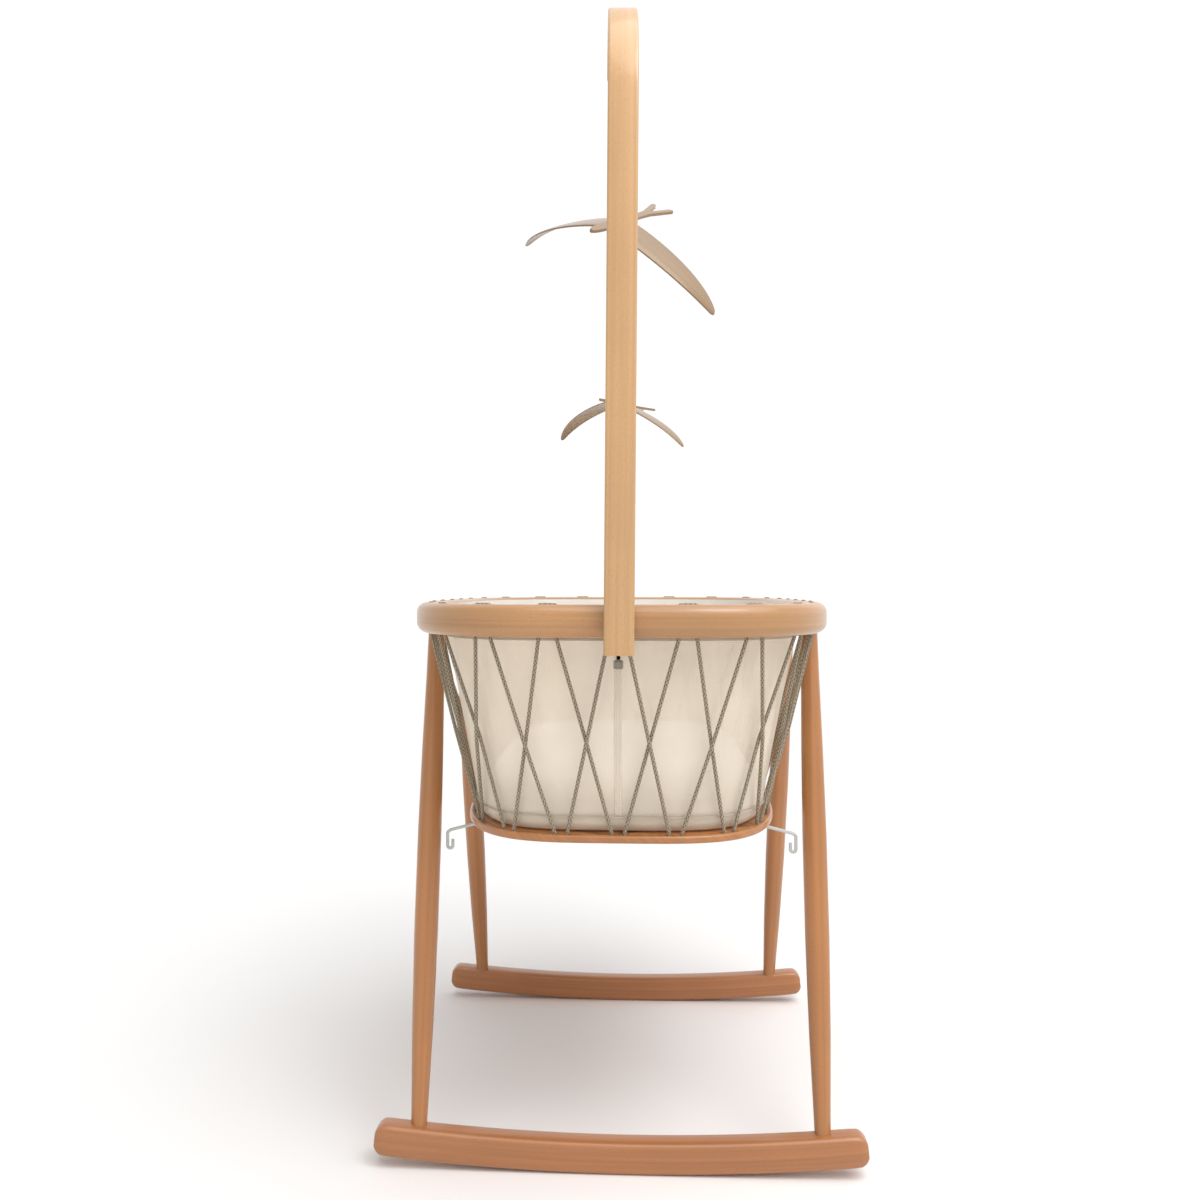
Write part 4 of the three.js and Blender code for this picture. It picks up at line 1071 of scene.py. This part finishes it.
def make_clamp_screw():
    """The clamp's threaded screw and its knurled nut."""
    low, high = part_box("clamp_screw")
    axis = Vector(((low[0] + high[0]) / 2, (low[1] + high[1]) / 2, low[2]))
    up = Vector((math.sin(CROOK_LEAN), 0, math.cos(CROOK_LEAN)))
    profile = []
    crest, root = 0.0024, 0.0019
    turns = int((high[2] - low[2] - THREAD_PITCH) / THREAD_PITCH)
    for i in range(turns):
        at = i * THREAD_PITCH
        profile += [(crest, 0.0003 + at), (crest, 0.0005 + at), (root, 0.0008 + at)]
    screw = turned("threaded_screw", axis, up, profile, 20, 30)
    dress(screw, MATERIALS["black"], "clamp_screw", ["clamp_screw"])
    knob_low, knob_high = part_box("clamp_knob")
    base = Vector(((knob_low[0] + knob_high[0]) / 2, (knob_low[1] + knob_high[1]) / 2, knob_low[2]))
    height = knob_high[2] - knob_low[2]
    radius = (knob_high[0] - knob_low[0]) / 2
    # shares of the nut's radius and height
    shape = [(0.35, 0), (0.8, 0.01), (0.93, 0.05), (1, 0.14),
             (1, 0.84), (0.93, 0.94), (0.8, 0.98), (0.35, 0.99)]
    sections = []
    for share, level in shape:
        ring = []
        for k in range(48):
            angle = 2 * math.pi * k / 48
            knurl = 1 - 0.07 * (k % 2) * (share > 0.9)
            reach = radius * share * knurl
            out = Vector((math.cos(angle) * reach, math.sin(angle) * reach, 0))
            ring.append(base + up * (height * level) + out)
        sections.append(ring)
    knob = sweep("knurled_nut", sections, smooth=25)
    dress(knob, MATERIALS["zinc"], "clamp_screw", ["clamp_knob"])


class BASSINET_OT_rods(bpy.types.Operator):
    """Make the side rods under the board and their saddles"""
    bl_idname = "bassinet.rods"
    bl_label = "Side rods"

    def execute(self, context):
        for end in ("near", "far"):
            low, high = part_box(f"side_rod_{end}")
            y = (low[1] + high[1]) / 2
            wire, hook = sizes().wire, ROD_HOOK
            reach, foot = high[0] - wire / 2, low[2] + wire / 2 + hook / 2
            half = [Vector((ROD_BEND_X, y, ROD_HEIGHT)), Vector((reach - 0.005, y, ROD_END_HEIGHT)),
                    Vector((reach, y, ROD_END_HEIGHT - 0.003))]
            for i in range(9):
                turn = math.pi * i / 8
                x, z = reach - hook / 2 * (1 - math.cos(turn)), foot - hook / 2 * math.sin(turn)
                half.append(Vector((x, y, z)))
            half.append(Vector((reach - hook, y, foot + ROD_HOOK_RISE)))
            path = [Vector((-p.x, p.y, p.z)) for p in reversed(half)] + half
            rod = tube(f"wire_rod_{end}", path, wire, MATERIALS["rod"], 0.005, 16)
            dress(rod, MATERIALS["rod"], nodes=[f"side_rod_{end}"])
            for side in ("left", "right"):
                make_saddle(f"{end}_{side}", y)
        return {"FINISHED"}


def make_saddle(place, rod_y):
    """A small block with eased edges, with a bore for the rod."""
    low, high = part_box(f"rod_saddle_{place}")
    x = (low[0] + high[0]) / 2
    half_x, half_y = (high[0] - low[0]) / 2, (high[1] - low[1]) / 2
    sections = []
    for z, ease_in in ((low[2], 0.0012), (low[2] + 0.0012, 0), (high[2] - 0.0006, 0), (high[2], 0.0004)):
        shape = rounded_section(half_x - ease_in, half_y - ease_in, 0.002, 3)
        sections.append([Vector((x + a, (low[1] + high[1]) / 2 + b, z)) for a, b in shape])
    block = sweep(f"saddle_{place}", sections, smooth=40)
    ends = [Vector((x + out, rod_y, ROD_HEIGHT)) for out in (-0.03, 0.03)]
    bore = sweep("bore", bar(*ends, ROD_BORE_RADIUS, 24))
    carve(block, bore)
    dress(block, MATERIALS["leg_beech"], nodes=[f"rod_saddle_{place}"])


class BASSINET_OT_mobile(bpy.types.Operator):
    """Make the two birds and the threads that they hang on"""
    bl_idname = "bassinet.mobile"
    bl_label = "Bird mobile"

    def execute(self, context):
        # name, scale, hanging height, then heading, pitch and roll in degrees, and how far the bird's middle
        # lies from its thread so that it balances
        birds = (
            ("upper", 1.0, 1.258, (-124, -24, -27), (-0.00015, -0.0153)),
            ("lower", 0.643, 1.014, (-123, -1, -7), (-0.0012, -0.0045)),
        )
        for name, scale, z, (heading, pitch, roll), balance in birds:
            low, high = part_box(f"thread_{name}")
            hang = Vector(((low[0] + high[0]) / 2, (low[1] + high[1]) / 2, z))
            angles = [math.radians(degrees) for degrees in (roll, -pitch, heading)]
            turn = Euler(angles, "XYZ").to_matrix().to_4x4()
            middle = hang + Vector((balance[0], balance[1], 0))
            make_bird(name, Matrix.Translation(middle) @ turn @ Matrix.Scale(scale, 4))
            top = Vector((hang.x, hang.y, high[2] + 0.0005))
            foot = Vector((hang.x, hang.y, low[2] - 0.004))
            path = [foot, foot.lerp(top, 0.5), top]
            thread = tube(f"nylon_thread_{name}", path, sizes().thread, MATERIALS["thread"], 0, 8)
            dress(thread, MATERIALS["thread"], f"thread_{name}", [f"thread_{name}"])
        return {"FINISHED"}


def make_bird(name, place):
    """A swallow of thin bent beech: a flat forked body and two drooping, swept wings."""
    pieces = [("body", bird_body()), ("left_wing", bird_wing(1)), ("right_wing", bird_wing(-1))]
    for word, piece in pieces:
        piece.name = f"swallow_{name}_{word}"
        piece.data.transform(place)
        dress(piece, MATERIALS["bird_beech"], f"bird_{name}", [f"bird_{name}_{word}"])


def bird_wing(side):
    """One wing in the bird's own frame: +X forward, +Y to its left, the thread's hole at the origin."""
    span, chord, tip, sweep_back, droop = 0.158, 0.050, 0.008, 0.026, 0.082
    sections = []
    for i in range(41):
        share = 0.0566 + 0.9434 * math.sin(math.radians(90 * i / 40))
        width = chord * (1 - share ** 2.2) ** 0.8 if share < 1 else 0
        rounding = math.sqrt(max(1 - (max(share - 0.97, 0) / 0.03) ** 2, 0.02))
        x, z = 0.008 - sweep_back * share ** 1.6, -droop * share ** 1.3
        y = side * span * math.sin(share * 1.15) / math.sin(1.15)
        ring = [Vector((x + a, y, z + b)) for a, b in blade((width + tip) * rounding)]
        sections.append(ring[::-1] if side > 0 else ring)
    return sweep("wing", sections, smooth=50)


def blade(chord):
    """Section of a thin blade with a slight crown, from its front edge over the top and back."""
    thickness, crown = 0.0022, 0.0014
    turns = [math.pi * i / 12 for i in range(13)]
    top = [(chord / 2 * math.cos(t), 0.0006 + crown * math.sin(t)) for t in turns]
    return top + [(-a, b - thickness) for a, b in top]


def bird_body():
    """The flat body with its blunt nose and forked tail, its edges eased and its grain lengthwise."""
    nose, root, half = 0.072, -0.045, 0.0085
    edge = [(nose - 0.0006, 0.0019), (nose - 0.003, 0.0037)]
    edge += quadratic((nose - 0.003, 0.0037), (nose - 0.012, half), (nose - 0.04, half), 8)
    edge += quadratic((nose - 0.04, half), (root + 0.022, half), (root, 0.006), 8)
    # one prong of the tail, out to its rounded tip and back
    edge += [(-0.072, 0.007), (-0.112, 0.0178), (-0.1155, 0.0186), (-0.118, 0.0172), (-0.1183, 0.0145),
             (-0.1163, 0.0112)]
    outline_points = edge + [(-0.078, 0)] + [(x, -y) for x, y in reversed(edge)]
    rings = []
    for z, inset in ((-0.0023, 0.0007), (-0.0016, 0), (0.0016, 0), (0.0023, 0.0007)):
        rings.append([Vector((x, y - math.copysign(inset, y) if y else 0, z)) for x, y in outline_points])
    body = sweep("body", rings, smooth=35)
    for loop in body.data.loops:
        place = body.data.vertices[loop.vertex_index].co
        body.data.uv_layers["grain"].data[loop.index].uv = (place.x, place.y + place.z)
    return body


def quadratic(a, b, c, steps):
    """Points of a quadratic curve after its first one."""
    points = []
    for i in range(1, steps + 1):
        t = i / steps
        points.append(tuple((1 - t) ** 2 * p + 2 * t * (1 - t) * q + t * t * r for p, q, r in zip(a, b, c)))
    return points


class BASSINET_PT_panel(bpy.types.Panel):
    """Lists the bassinet's sizes, colours and steps"""
    bl_label = "Rocking bassinet"
    bl_idname = "BASSINET_PT_panel"
    bl_space_type = "VIEW_3D"
    bl_region_type = "UI"
    bl_category = "Bassinet"

    def draw(self, context):
        for step in STEPS:
            self.layout.operator(step.bl_idname)
        for group in (context.scene.bassinet_sizes, context.scene.bassinet_colours):
            for name in group.bl_rna.properties.keys():
                if name not in ("rna_type", "name"):
                    self.layout.prop(group, name)


STEPS = (
    BASSINET_OT_stage, BASSINET_OT_lacing, BASSINET_OT_rim, BASSINET_OT_stand,
    BASSINET_OT_liner, BASSINET_OT_crook, BASSINET_OT_rods, BASSINET_OT_mobile,
)
CLASSES = (BassinetSizes, BassinetColours, *STEPS, BASSINET_PT_panel)


def register():
    for cls in CLASSES:
        bpy.utils.register_class(cls)
    bpy.types.Scene.bassinet_sizes = bpy.props.PointerProperty(type=BassinetSizes)
    bpy.types.Scene.bassinet_colours = bpy.props.PointerProperty(type=BassinetColours)


def unregister():
    del bpy.types.Scene.bassinet_colours
    del bpy.types.Scene.bassinet_sizes
    for cls in reversed(CLASSES):
        bpy.utils.unregister_class(cls)


def main():
    """Makes every piece in order."""
    register()
    MATERIALS.update(make_materials())
    TREES.update(cord=cord_tree(), stitch=stitch_tree())
    for step in STEPS:
        group, name = step.bl_idname.split(".")
        getattr(getattr(bpy.ops, group), name)()
    bpy.context.view_layer.update()


if __name__ == "__main__":
    main()
